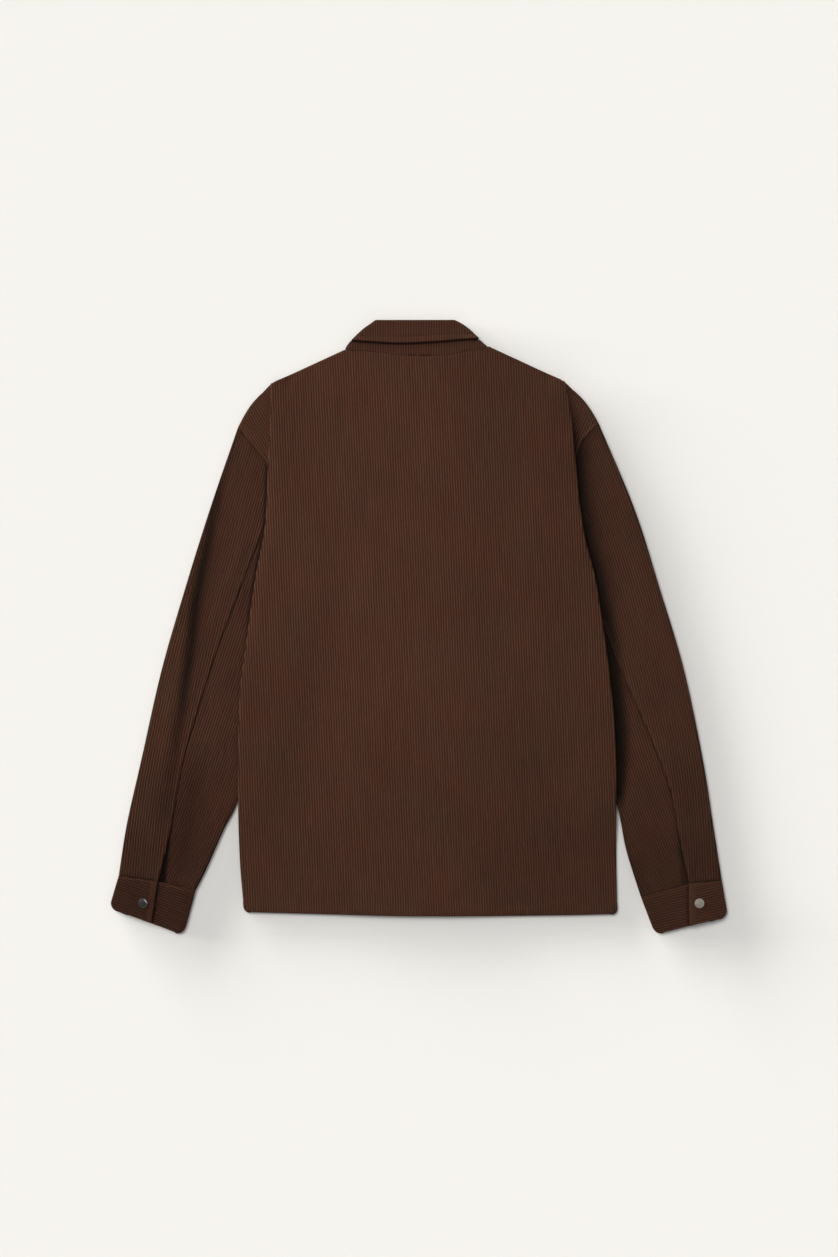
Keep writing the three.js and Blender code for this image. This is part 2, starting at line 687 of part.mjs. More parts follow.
/** The sleeve's place at share w across and v along, from two patches that meet at its back seam. */
function sleevePlan(side) {
  const seamTop = side.armhole.findIndex(({ out }) => out === side.sleeveSeam[0].out);
  const { topOuter, topInner } = side.cuff;
  const seamEnd = side.sleeveSeam[side.sleeveSeam.length - 1];
  const seam = along(side.sleeveSeam);
  const outerPart = patch(
    along(side.armhole.slice(0, seamTop + 1)),
    along([topOuter, seamEnd]),
    along(side.sleeveOuter),
    seam,
  );
  const innerPart = patch(
    along(side.armhole.slice(seamTop)),
    along([seamEnd, topInner]),
    seam,
    along(side.sleeveInner),
  );
  return (w, v) =>
    w < SEAM_SHARE ? outerPart(w / SEAM_SHARE, v) : innerPart((w - SEAM_SHARE) / (1 - SEAM_SHARE), v);
}

const PUFF_STARTS = { outsideBody: { from: 1, to: 30 }, belowSeam: { from: 10, to: 60 } };

/** The upper layer's height: pressed flat under the body and standing off a little outside it. */
function sleeveLevel(side, name, place) {
  const { outsideBody, belowSeam } = PUFF_STARTS;
  const clear = ease(place.x - foldOut(side, place.y), outsideBody.from, outsideBody.to);
  const fromSeam = Math.hypot(place.x - side.armhole[1].out, place.y - side.armhole[1].y);
  const nearSeam = ease(fromSeam, belowSeam.from, belowSeam.to);
  const puff = SLEEVE_PUFF + foldLift(name, side.hand * place.x, place.y);
  return LEVEL.sleeveTop + Math.max(0, puff) * clear * nearSeam;
}

const TURN_ROOM = 4.5; // how far the flat layers' points keep off the sleeve's folds

/** A sleeve piece's grid: its top layer to its fold, round that, and back along its bottom layer. */
function sleevePiece(side, name, topShares, bottomShares) {
  const plan = sleevePlan(side);
  const foldShare = topShares[topShares.length - 1];
  return SLEEVE_ROWS.map((v) => {
    const share = mix(SLEEVE_SEAM_SHARE, 1, v);
    const edge = plan(foldShare, share);
    const away = squareTo((along) => plan(foldShare, along), share, plan(0.5, share));
    const inside = edge.clone().addScaledVector(away, -6);
    const level = sleeveLevel(side, name, inside);
    const turn = halfTurn(edge, away, level, LEVEL.front, CLOTH);
    const clearOfTurn = (w) => {
      const reach = Math.max(1, edge.distanceTo(plan(0.5, share)));
      return mix(w, 0.5, Math.max(0, 1 - Math.abs(w - foldShare) * 2) * (TURN_ROOM / reach));
    };
    const top = topShares.slice(0, -1).map((w) => {
      const place = plan(clearOfTurn(w), share);
      return new THREE.Vector3(place.x, place.y, sleeveLevel(side, name, place));
    });
    const bottom = bottomShares.slice(1).map((w) => {
      const place = plan(clearOfTurn(w), share);
      return new THREE.Vector3(place.x, place.y, LEVEL.front);
    });
    return [...top, ...turn, ...bottom].map((p) => new THREE.Vector3(side.hand * p.x, p.y, p.z));
  });
}

for (const [name, side] of Object.entries(SIDES)) {
  const seam = { back: SEAM_SHARE, front: FRONT_SEAM_SHARE, half: 0.003 };
  const upperTop = span(seam.back - seam.half, 0, 7);
  const underTop = span(seam.back + seam.half, 1, 5);
  const upper = sleevePiece(side, name, upperTop, span(0, seam.front - seam.half, 4));
  const under = sleevePiece(side, name, underTop, span(1, seam.front + seam.half, 4));
  add(`sleeve_upper_${name}`, wall(upper, CLOTH), colours.cloth);
  add(`sleeve_under_${name}`, wall(under, CLOTH), colours.cloth);
}

// ---------------------------------------------------------------- the cuffs

// The overlapping end stops at a share across from the outer fold, given at the cuff's top and bottom.
const UNDERLAP_END = 0.27; // where the end under it stops
const CUFF_SEAM_SHARE = 0.012; // how far down the cuff's height its edge starts, clear of the sleeve
const CUFF_CORNER = 10.5; // how much of each side the cuff's round lower corners take

const CUFF_LEVEL = {
  bottom: CUFF_CLOTH / 2,
  underlap: CUFF_CLOTH / 2 + CUFF_LAYER,
  overlap: CUFF_CLOTH / 2 + 2 * CUFF_LAYER,
};

function cuffPlan({ cuff, sleeveSeam }) {
  const seamEnd = plane(sleeveSeam[sleeveSeam.length - 1]);
  const topEdge = new THREE.CurvePath();
  topEdge.add(new THREE.LineCurve(plane(cuff.topOuter), seamEnd));
  topEdge.add(new THREE.LineCurve(seamEnd, plane(cuff.topInner)));
  const top = (w) => topEdge.getPoint(Math.min(1, Math.max(0, w)));
  const bottom = (w) => plane(cuff.bottomOuter).lerp(plane(cuff.bottomInner), w);
  return (w, h) => {
    const down = mix(CUFF_SEAM_SHARE, 1, h);
    return top(w).lerp(bottom(w), down);
  };
}

function cuffRow(side, h) {
  const plan = cuffPlan(side);
  const outerLevel = mix(CUFF_LEVEL.underlap, CUFF_LEVEL.overlap, 0.45); // at the outer fold
  const point = (w, z) => {
    const place = plan(w, h);
    return new THREE.Vector3(place.x, place.y, z);
  };
  const turn = (w, fromZ, toZ) => {
    const away = squareTo((down) => plan(w, down), h, plan(0.5, 0.5));
    return halfTurn(plan(w, h), away, fromZ, toZ, CUFF_CLOTH);
  };
  const underlap = span(UNDERLAP_END, 0.94, 4).map((w) => point(w, CUFF_LEVEL.underlap));
  const bottom = span(0.93, 0.07, 3).map((w) => point(w, CUFF_LEVEL.bottom));
  const overlapEnd = mix(side.cuff.overlapEnd.top, side.cuff.overlapEnd.bottom, h);
  const overlap = span(0.1, overlapEnd, 4).map((w) => {
    const z = mix(outerLevel, CUFF_LEVEL.overlap, ease(w, 0.07, UNDERLAP_END - 0.05));
    return point(w, z);
  });
  return [
    ...underlap,
    ...turn(1, CUFF_LEVEL.underlap, CUFF_LEVEL.bottom),
    ...bottom,
    ...turn(0, CUFF_LEVEL.bottom, outerLevel),
    ...overlap,
  ].map((p) => new THREE.Vector3(side.hand * p.x, p.y, p.z));
}

for (const [name, side] of Object.entries(SIDES)) {
  let cuff = solidOf(wall(span(0, 1, 4).map((h) => cuffRow(side, h)), CUFF_CLOTH));
  const { topOuter, topInner, bottomOuter, bottomInner } = side.cuff;
  const place = ({ out, y }) => new THREE.Vector2(side.hand * out, y);
  cuff = roundCorner(cuff, place(bottomOuter), [place(topOuter), place(bottomInner)], CUFF_CORNER);
  cuff = roundCorner(cuff, place(bottomInner), [place(topInner), place(bottomOuter)], CUFF_CORNER);
  add(`cuff_${name}`, geometryOf(cuff), colours.cloth);
  const middle = cuffPlan(side)(side.cuff.snap.across, side.cuff.snap.down);
  const cap = add(`cuff_snap_${name}`, snapCap(2.2), colours.darkMetal);
  cap.position.set(side.hand * middle.x, middle.y, CUFF_LEVEL.overlap + CUFF_CLOTH / 2 + SEAM);
}

// ---------------------------------------------------------------- the collar

const COLLAR_COLUMNS = 12; // across the back
const COLLAR_END_COLUMNS = 7; // across each front end
const COLLAR_END_GAP = 2; // half the gap between the ends at the front

/** One row round a collar piece, from its left end under the middle, round the back, to its right end.
 *  `backY` and `frontY` give how far up the shirt the row runs, behind and in front. */
function collarRow(backY, frontY, levels) {
  const radius = (levels.top - levels.bottom) / 2;
  const flat = (column, hand) => {
    const reach = read(COLLAR_SIDES, "y", column, backY(hand * COLLAR_SIDES[0].right));
    return reach - levels.inset - radius - CLOTH / 2;
  };
  const end = (column, hand) =>
    span(COLLAR_END_GAP, flat(column, hand), COLLAR_END_COLUMNS)
      .slice(0, -1)
      .map((out) => new THREE.Vector3(hand * out, frontY(hand * out, flat(column, hand)), levels.bottom));
  const turn = (column, hand) =>
    span(0, Math.PI, ARC_STEPS).map((angle) => {
      const x = hand * (flat(column, hand) + radius * Math.sin(angle));
      const y = mix(frontY(x, flat(column, hand)), backY(x), angle / Math.PI);
      return new THREE.Vector3(x, y, mix(levels.bottom, levels.top, (1 - Math.cos(angle)) / 2));
    });
  const back = span(-flat("left", -1), flat("right", 1), COLLAR_COLUMNS)
    .slice(1, -1)
    .map((x) => new THREE.Vector3(x, backY(x), levels.top));
  const [leftTurn, rightTurn] = [turn("left", -1), turn("right", 1).reverse()];
  return [...end("left", -1), ...leftTurn, ...back, ...rightTurn, ...end("right", 1).reverse()];
}

const COLLAR_SHARES = span(0, 1, 4); // rows from the leaf's edge to the roll
const leafBackEdge = (x) => read(LEAF_EDGE, "x", "y", x);
const neckEdge = (x) => read(NECK_LINE, "x", "y", x) + 2 * SEAM;
const frontRoll = (x, reach) => COLLAR_ROLL - neckDrop(x, reach);

// Below the leaf's edge the stand reaches the collar's outline; above it, it lies inside the leaf.
const standLevels = { bottom: LEVEL.sleeveTop, top: LEVEL.backEdge, inset: 3 * LAYER };
const shownLevels = { ...standLevels, inset: SEAM };
const BELOW_LEAF = 4; // how far below the leaf's edge the stand still reaches the outline
const standDrop = (x) => neckDrop(x, shoulderOf(x).neckTip.out - COLLAR_TURN - 2);
const standFrontEdge = (x) => neckEdge(x) - standDrop(x);
const standRows = COLLAR_SHARES.map((share) => {
  const behind = (x) => mix(leafBackEdge(x), COLLAR_ROLL, share);
  const before = (x, reach) => mix(leafBackEdge(x) - neckDrop(x, reach), frontRoll(x, reach), share);
  return collarRow(behind, before, standLevels);
});
const justBelow = (x) => leafBackEdge(x) - BELOW_LEAF;
standRows.unshift(collarRow(justBelow, (x) => justBelow(x) - standDrop(x), shownLevels));
standRows.unshift(collarRow(neckEdge, standFrontEdge, shownLevels));
add("collar_stand", wall(standRows, CLOTH), colours.cloth);

/** The leaf's lower edge in front runs down to a point each side of the middle. */
function leafFrontEdge(x, reach) {
  const out = Math.abs(x);
  return leafBackEdge(x) - neckDrop(x, reach) - COLLAR_POINT * ease(out, 4, 52) * ease(out, reach, 52);
}
const leafLevels = { bottom: LEVEL.front, top: LEVEL.backEdge + LAYER, inset: 0 };
const leafRows = COLLAR_SHARES.map((share) => {
  const behind = (x) => mix(leafBackEdge(x), COLLAR_ROLL, share);
  const before = (x, reach) => mix(leafFrontEdge(x, reach), frontRoll(x, reach), share);
  return collarRow(behind, before, leafLevels);
});
add("collar_leaf", wall(leafRows, CLOTH), colours.cloth);

// ---------------------------------------------------------------- the origin

const box = new THREE.Box3().setFromObject(overshirt);
overshirt.position.set(-(box.min.x + box.max.x) / 2, -(box.min.y + box.max.y) / 2, -box.min.z);

export default overshirt;
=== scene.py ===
# %% [markdown]
# # A velvet overshirt, laid out flat
# The overshirt lies on its two fronts, so its plain back is up. Its sleeves are brought down along its
# sides and its collar is turned down. The cloth is a brown ribbed velvet, a wide-wale corduroy.
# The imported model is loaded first. Every piece below is made in its place and at its size.

import bpy
import numpy as np
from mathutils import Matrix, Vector
from mathutils.bvhtree import BVHTree


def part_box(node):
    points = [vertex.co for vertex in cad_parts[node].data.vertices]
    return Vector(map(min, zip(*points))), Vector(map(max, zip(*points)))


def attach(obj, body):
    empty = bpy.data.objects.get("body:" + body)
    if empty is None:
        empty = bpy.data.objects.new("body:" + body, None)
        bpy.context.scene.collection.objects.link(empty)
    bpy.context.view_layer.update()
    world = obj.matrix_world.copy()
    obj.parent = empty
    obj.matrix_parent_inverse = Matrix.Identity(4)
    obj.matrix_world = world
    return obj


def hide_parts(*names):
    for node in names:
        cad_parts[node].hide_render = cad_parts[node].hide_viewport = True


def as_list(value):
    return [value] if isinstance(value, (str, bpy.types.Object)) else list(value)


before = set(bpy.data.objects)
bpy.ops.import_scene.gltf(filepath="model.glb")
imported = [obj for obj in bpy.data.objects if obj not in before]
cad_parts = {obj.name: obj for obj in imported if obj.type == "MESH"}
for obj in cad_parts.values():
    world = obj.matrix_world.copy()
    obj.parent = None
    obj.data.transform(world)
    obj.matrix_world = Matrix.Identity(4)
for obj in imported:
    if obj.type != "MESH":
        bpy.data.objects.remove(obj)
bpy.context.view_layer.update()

# %% [markdown]
# ## The sizes that rule the overshirt
# A pattern cutter starts from a few sizes. Lengths here are in millimetres, as on a paper pattern, and
# are turned into metres when a mesh is made. "Out" is the distance from the middle line of the body,
# so one table can serve a side whether it lies left or right, through the side's "hand".

# %% Sizes and layers
MM = 0.001
CLOTH = 1.8  # corduroy with its pile
CUFF_CLOTH = 2.4  # two plies with a stiffener
SEAM = 0.3  # clearance between two pieces sewn together
LAYER = CLOTH + SEAM
CUFF_LAYER = CUFF_CLOTH + SEAM
WALE = 3.3  # from one rib of the velvet to the next

# Heights of the middle of the cloth.
FRONT_LEVEL = CLOTH / 2
SLEEVE_LEVEL = FRONT_LEVEL + LAYER
UNDER_LEVEL = FRONT_LEVEL + 2 * LAYER
EDGE_LEVEL = FRONT_LEVEL + 3 * LAYER
print("layers of the cloth at", FRONT_LEVEL, SLEEVE_LEVEL, UNDER_LEVEL, EDGE_LEVEL, "mm")

# %% The outline of each side
SIDES = {
    "left": {
        "hand": -1,
        # (y, out) of the fold at the body's side
        "back_fold": [(316, 192), (255, 193.5), (208, 196), (130, 200), (60, 213), (-12, 223),
                      (-70, 231), (-126, 234), (-225, 234.5), (-303, 232.5), (-370.5, 227)],
        # (out, y) of the seams and folds below
        "armhole": [(235, 258.5), (215.5, 235), (197, 210), (183, 175), (150, 90)],
        "outer": [(235, 258.5), (271.5, 152), (304, 48), (334, -56), (360.5, -173), (379, -255),
                  (389.7, -322.7)],
        "seam": [(183, 175), (231, 51.5), (262, -32), (287, -109.5), (306, -176), (320, -254),
                 (338, -330.5)],
        "inner": [(150, 90), (178.5, -15), (208, -125), (235, -225), (253.5, -264), (276.5, -316),
                  (289.6, -341.8)],
        "cuff_top": [(389.7, -322.7), (289.6, -341.8)],
        "cuff_bottom": [(402, -364.5), (305.5, -400.5)],
        # share of the cuff's width where the overlap ends, at the cuff's top and bottom
        "overlap_end": (0.505, 0.574),
        # (out, y) of two corners, and the y of the hem at the side
        "shoulder": (235, 258.5),
        "neck": (95.5, 360),
        "hem": -370.5,
    },
    "right": {
        "hand": 1,
        "back_fold": [(319, 189), (290, 196), (236, 202), (165, 208.5), (110, 217), (65, 229),
                      (-8, 240.5), (-80, 250), (-150, 255.5), (-225, 256.5), (-303, 256.5),
                      (-373, 258)],
        "armhole": [(234, 263.5), (221, 251), (208.5, 234), (188, 172), (157, 86)],
        "outer": [(234, 263.5), (280.5, 152), (313.5, 48), (344.5, -56), (369, -173), (382, -255),
                  (393.5, -329)],
        "seam": [(188, 172), (228, 40), (265, -60), (301, -143), (326, -209), (340, -281.5),
                 (351.3, -333)],
        "inner": [(157, 86), (192, -25), (229, -140), (257.5, -232), (269.5, -290), (288.5, -351)],
        "cuff_top": [(393.5, -329), (288.5, -351)],
        "cuff_bottom": [(401.5, -376), (307, -399.5)],
        "overlap_end": (0.401, 0.533),
        "shoulder": (234, 263.5),
        "neck": (91, 364),
        "hem": -373,
    },
}
# (x, y) of the hem and of the neck seam
HEM = [(-227, -370.5), (-115, -373.5), (2, -376), (184, -374.7), (258, -373)]
NECK = [(-95.5, 360), (-63, 357), (-24, 352), (28, 351.5), (56, 356), (91, 364)]
print("body", SIDES["left"]["back_fold"][8][1] + SIDES["right"]["back_fold"][9][1], "mm wide")

# %% [markdown]
# ## Reading the tables
# A smooth line through a few measured places is what a French curve gives a pattern cutter. One helper
# reads a table like a curve, another walks along a line by its length, and a third fills the patch of
# cloth between four lines that meet at their corners.

# %% Reading a table
def mix(a, b, t):
    return a + (b - a) * t


def ease(value, low, high):
    """0 at low and 1 at high, with soft ends; low may be the larger."""
    t = np.clip((np.asarray(value, float) - low) / (high - low), 0, 1)
    return t * t * (3 - 2 * t)


def bell(distance, wide, power=2):
    """1 where the distance is 0, fading softly to both sides; a higher power has steeper sides."""
    return np.exp(-((distance / wide) ** power))


def read(table, at):
    """A smooth line through the table's (place, value) rows."""
    place, value = np.array(sorted(table), float).T
    at = np.clip(at, place[0], place[-1])
    i = np.clip(np.searchsorted(place, at), 1, len(place) - 1)
    before, after = np.maximum(i - 2, 0), np.minimum(i + 1, len(place) - 1)
    width = place[i] - place[i - 1]
    slope_a = (value[i] - value[before]) / (place[i] - place[before]) * width
    slope_b = (value[after] - value[i - 1]) / (place[after] - place[i - 1]) * width
    t = (at - place[i - 1]) / width
    start = value[i - 1] * (1 + 2 * t) * (1 - t) ** 2 + slope_a * t * (1 - t) ** 2
    return start + value[i] * t * t * (3 - 2 * t) - slope_b * t * t * (1 - t)


def out_at(rows, y):
    """How far out a line of (out, y) rows is at the height y."""
    return read([(height, out) for out, height in rows], y)


print("the neck seam's height in the middle:", round(float(read(NECK, 0)), 1), "mm")

# %% Lines and patches
def lengths_along(line):
    """The length from a line's start to each of its places."""
    return np.r_[0, np.cumsum(np.linalg.norm(np.diff(line, axis=0), axis=1))]


def smooth_line(rows, steps=60):
    """A function that walks along a smooth line through the rows, by its share of the length."""
    p = np.array(rows, float)
    padded = np.vstack([p[:1], p, p[-1:]])
    t = np.linspace(0, 1, steps, endpoint=False)[:, None]
    parts = []
    for a, b, c, d in zip(padded, padded[1:], padded[2:], padded[3:]):
        u, v = (c - a) / 2, (d - b) / 2
        parts.append((2 * b - 2 * c + u + v) * t**3 + (3 * c - 3 * b - 2 * u - v) * t**2 + u * t + b)
    line = np.vstack(parts + [p[-1:]])
    length = lengths_along(line)

    def at(share):
        here = np.clip(share, 0, 1) * length[-1]
        return np.stack([np.interp(here, length, line[:, 0]), np.interp(here, length, line[:, 1])], -1)

    return at


def patch(top, bottom, outer, inner):
    """The place at share w across and v along, between four lines."""
    corner = [top(0.0), top(1.0), bottom(0.0), bottom(1.0)]

    def at(w, v):
        w = np.asarray(w, float)[..., None]
        edges = top(w[..., 0]) * (1 - v) + bottom(w[..., 0]) * v + outer(v) * (1 - w) + inner(v) * w
        inside = corner[0] * (1 - w) * (1 - v) + corner[1] * w * (1 - v)
        return edges - inside - corner[2] * (1 - w) * v - corner[3] * w * v

    return at


print("left sleeve's back seam:", np.round(smooth_line(SIDES["left"]["seam"])(0.5), 1), "half way")

# %% [markdown]
# ## How the layers lie on each other
# The body's sides are folded under like a flat tuck, and lie on the sleeves. So the back stands four
# layers high at its sides, dips towards the middle, and rises again over the front's placket and over
# the collar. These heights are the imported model's own, so the finished cloth sits in its place.

# %% Heights of the body's layers
TUCK_AT_SHOULDER = 6  # how far inside the back's side the tuck's second fold lies, at the shoulder
TUCK_PAST_UNDERARM = 12  # how far inside the armhole it lies, at the underarm
STEP_DOWN = 14  # how far the cloth turned under at a side takes to come down to the front
HEM_CORNER = 7  # radius of the back's lower corners
OFF_THE_SLEEVE = (-230, -292)  # between these heights the turned side comes down to the surface
FRONT_OVER_COLLAR = {"y": (185, 265), "out": (158, 98)}
BACK_OVER_COLLAR = {"y": (110, 235), "out": (175, 115)}
BACK_OVER_PLACKET = (150, 32)  # out
SIDE_SLOPE = 62  # width of the slope from the back's middle up to its side


def corner_in(radius, left):
    """How far a line comes in where it nears the end of a round corner, `left` before that end."""
    past = np.clip(radius - left, 0, radius)
    return radius - np.sqrt(radius**2 - past**2)


def side_line(side, y):
    return read(side["back_fold"], y)


def fold_out(side, y):
    return side_line(side, y) - corner_in(HEM_CORNER, y - side["hem"])


def turn_end(side, y):
    """Where the cloth turned under at the side ends: a second fold, or the side seam lower down."""
    (out, low), (high, top_out) = side["armhole"][-1], side["back_fold"][0]
    t = (y - low) / (high - low)
    second_fold = mix(out - TUCK_PAST_UNDERARM, top_out - TUCK_AT_SHOULDER, t)
    inner = out_at(side["inner"], y)
    side_seam = np.minimum(inner - STEP_DOWN, side_line(side, y) - STEP_DOWN)
    return np.where(y >= low, second_fold, side_seam)


def turned_level(y):
    """The turned side lies on the sleeve, and near the hem on the surface."""
    return mix(UNDER_LEVEL, FRONT_LEVEL, ease(y, *OFF_THE_SLEEVE))


def front_level(x, y):
    """The front lies on the surface, and above the collar's front half near the neck."""
    over_collar = ease(y, *FRONT_OVER_COLLAR["y"]) * ease(np.abs(x), *FRONT_OVER_COLLAR["out"])
    return FRONT_LEVEL + LAYER * over_collar


def by_side(x, left, right):
    return np.where(np.asarray(x) < 0, left, right)


def neck_reach(x):
    """How far out the neck seam goes, on the side where x lies."""
    return by_side(x, *(side["neck"][0] for side in SIDES.values()))


def top_line(x):
    """The neck seam in the middle and the shoulder lines beside it."""
    lines = []
    for side in SIDES.values():
        (neck_out, neck_y), (fold_y, out) = side["neck"], side["back_fold"][0]
        lines.append(mix(neck_y, fold_y, (np.abs(x) - neck_out) / (out - neck_out)))
    return np.where(np.abs(x) <= neck_reach(x), read(NECK, x), by_side(x, *lines))


print("the front rises to", round(float(front_level(0.0, 300.0)), 2), "mm at the neck")

# %% [markdown]
# ## Soft folds
# Laid cloth is never quite flat. Each row of this table is one soft ridge or trough: where it is, the
# places it runs through, how wide it is each way, how far it lifts the cloth and how much painted shade
# it gets, where a negative share is a painted highlight. Folds like these could be left to a cloth
# simulation, but then they would not lie where this shirt has them.

# %% The soft folds
FOLDS = [
    # the sleeve or the back, the line's (x, y) places, wide, lift, share of painted shade (below 0:
    # painted highlight)
    ("left", [(-243, 240), (-254, 205), (-266, 150), (-278, 87), (-289, 35), (-295, -17), (-302, -69),
              (-310, -121), (-321, -195)], 8, -1.1, 0.8),
    ("left", [(-260, 150), (-281, 35), (-289, -40), (-300, -121)], 16, 0, 0.2),
    ("left", [(-322, -195), (-332, -262)], 15, -0.3, 0.32),
    ("left", [(-290, -165), (-296, -225), (-306, -277), (-320, -330)], 18, -0.2, 0.34),
    ("left", [(-214, 135), (-258, 40), (-300, -120)], 9, 0.8, -0.06),
    ("left", [(-212, 95), (-238, -30)], 6, 0.5, -0.08),
    ("left", [(-223, 62), (-232, 10)], 4, -0.5, 0.3),
    ("left", [(-300, 0), (-318, -80), (-334, -160)], 12, 0.5, -0.12),
    ("right", [(232, 150), (262, 20)], 10, -0.8, 0.06),
    ("right", [(262, 170), (318, -60)], 14, 0.6, -0.04),
    ("right", [(278, -60), (338, -215)], 9, 0.8, -0.03),
    ("right", [(283, -298), (293, -342)], 5, -0.5, 0.15),
    ("right", [(352, -150), (366, -300)], 12, -0.6, 0.06),
    ("back", [(-150, 255), (-70, 60)], 26, 0.5, -0.02),
    ("back", [(160, 230), (120, -60)], 24, 0.5, -0.02),
    ("back", [(60, -120), (150, -350)], 28, 0.4, -0.02),
]


def near_line(x, y, line, wide):
    """1 on the middle of a line through the places, fading to its sides and its ends."""
    line = np.array(line, float)
    runs = np.diff(line, axis=0)
    length = np.r_[0, np.cumsum(np.hypot(*runs.T))]
    apart, share = np.full(np.shape(x), 1e9), np.zeros(np.shape(x))
    for (x0, y0), (run_x, run_y), start, end in zip(line, runs, length, length[1:]):
        t = np.clip(((x - x0) * run_x + (y - y0) * run_y) / (end - start) ** 2, 0, 1)
        far = np.hypot(x - x0 - run_x * t, y - y0 - run_y * t)
        share = np.where(far < apart, mix(start, end, t) / length[-1], share)
        apart = np.minimum(far, apart)
    return bell(apart, wide) * np.sin(np.pi * mix(0.06, 0.94, share)) ** 0.6


def fold_lift(piece, x, y):
    """How far the folds of a piece lift or sink its cloth."""
    return sum(lift * near_line(x, y, line, wide) for name, line, wide, lift, _ in FOLDS if name == piece)


def fold_shade(piece, x, y):
    """What the folds leave of the light: painted shade in a trough and a painted highlight on a ridge."""
    left = np.ones(np.shape(x))
    for name, line, wide, _, darker in FOLDS:
        if name == piece:
            left = left * (1 - darker * near_line(x, y, line, wide))
    return left


def back_level(x, y):
    """The height of the middle of the back's cloth."""
    out = np.abs(x)
    over_placket = LAYER * ease(out, *BACK_OVER_PLACKET)
    over_collar = LAYER * ease(y, *BACK_OVER_COLLAR["y"]) * ease(out, *BACK_OVER_COLLAR["out"])
    middle = SLEEVE_LEVEL + over_placket + over_collar + fold_lift("back", x, y)
    support = by_side(x, *(
        np.minimum(turn_end(side, y), fold_out(side, y) - STEP_DOWN / 2) for side in SIDES.values()
    ))
    level = mix(middle, turned_level(y) + LAYER, ease(out, support - SIDE_SLOPE, support))
    past_neck = out - neck_reach(x)
    by_shoulder = ease(top_line(x) - y, 26, 3) * ease(past_neck, -3, 10) * ease(out, 184, 164)
    return mix(level, front_level(x, y) + LAYER + SEAM, by_shoulder)


print("the back lies at", round(float(back_level(0.0, 0.0)), 2), "mm in the middle")

# %% [markdown]
# ## From a grid of points to cloth
# A piece of cloth is worked out as a grid of points in the middle of its thickness. Its rows go across
# the piece and round its folds. A Solidify modifier could thicken it, but its rims would be square and
# its seams could not be pressed into one face. So each face is set off by hand, the outer one with its
# own relief, and the rim is rounded with three rings of points. Each point also keeps two marks. "Wale"
# is the rib that it is on, how far along that rib, and how clearly the ribs show. The other mark is the
# painted light and shade there, for the light and shade that fall on the cloth, together with the
# pile's own tone.

# %% Points to a mesh
def unit(v):
    return v / np.maximum(np.linalg.norm(v, axis=-1, keepdims=True), 1e-9)


def plan_distance(grid, line):
    """How far each place of a grid lies from a row or column, seen from above."""
    return np.linalg.norm(grid[..., :2] - line[..., :2], axis=-1)


def step_between(p, axis):
    ahead = np.concatenate([np.take(p, range(1, p.shape[axis]), axis), np.take(p, [-1], axis)], axis)
    behind = np.concatenate([np.take(p, [0], axis), np.take(p, range(p.shape[axis] - 1), axis)], axis)
    return ahead - behind


def mesh_object(name, points, faces, material, **marks):
    """A smooth mesh from points in millimetres; each mark becomes an attribute of its points."""
    mesh = bpy.data.meshes.new(name)
    mesh.from_pydata((np.asarray(points) * MM).tolist(), [], faces)
    for mark, values in marks.items():
        values = np.asarray(values, np.float32)
        kind, field = ("FLOAT_VECTOR", "vector") if values.ndim == 2 else ("FLOAT", "value")
        mesh.attributes.new(mark, kind, "POINT").data.foreach_set(field, values.ravel())
    mesh.polygons.foreach_set("use_smooth", np.ones(len(faces), bool))
    mesh.materials.append(material)
    mesh.update()
    piece = bpy.data.objects.new(name, mesh)
    bpy.context.scene.collection.objects.link(piece)
    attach(piece, "root")
    return piece


print("one helper makes every mesh, and puts it on the root body")

# %% Thick cloth with round rims
RIM_IN, RIM_UP = 0.29, 0.707  # shares of half the thickness, for a rim's ring half way round
SEWN_RIM = 0.25  # share of a free rim's width that is left where the rim is sewn


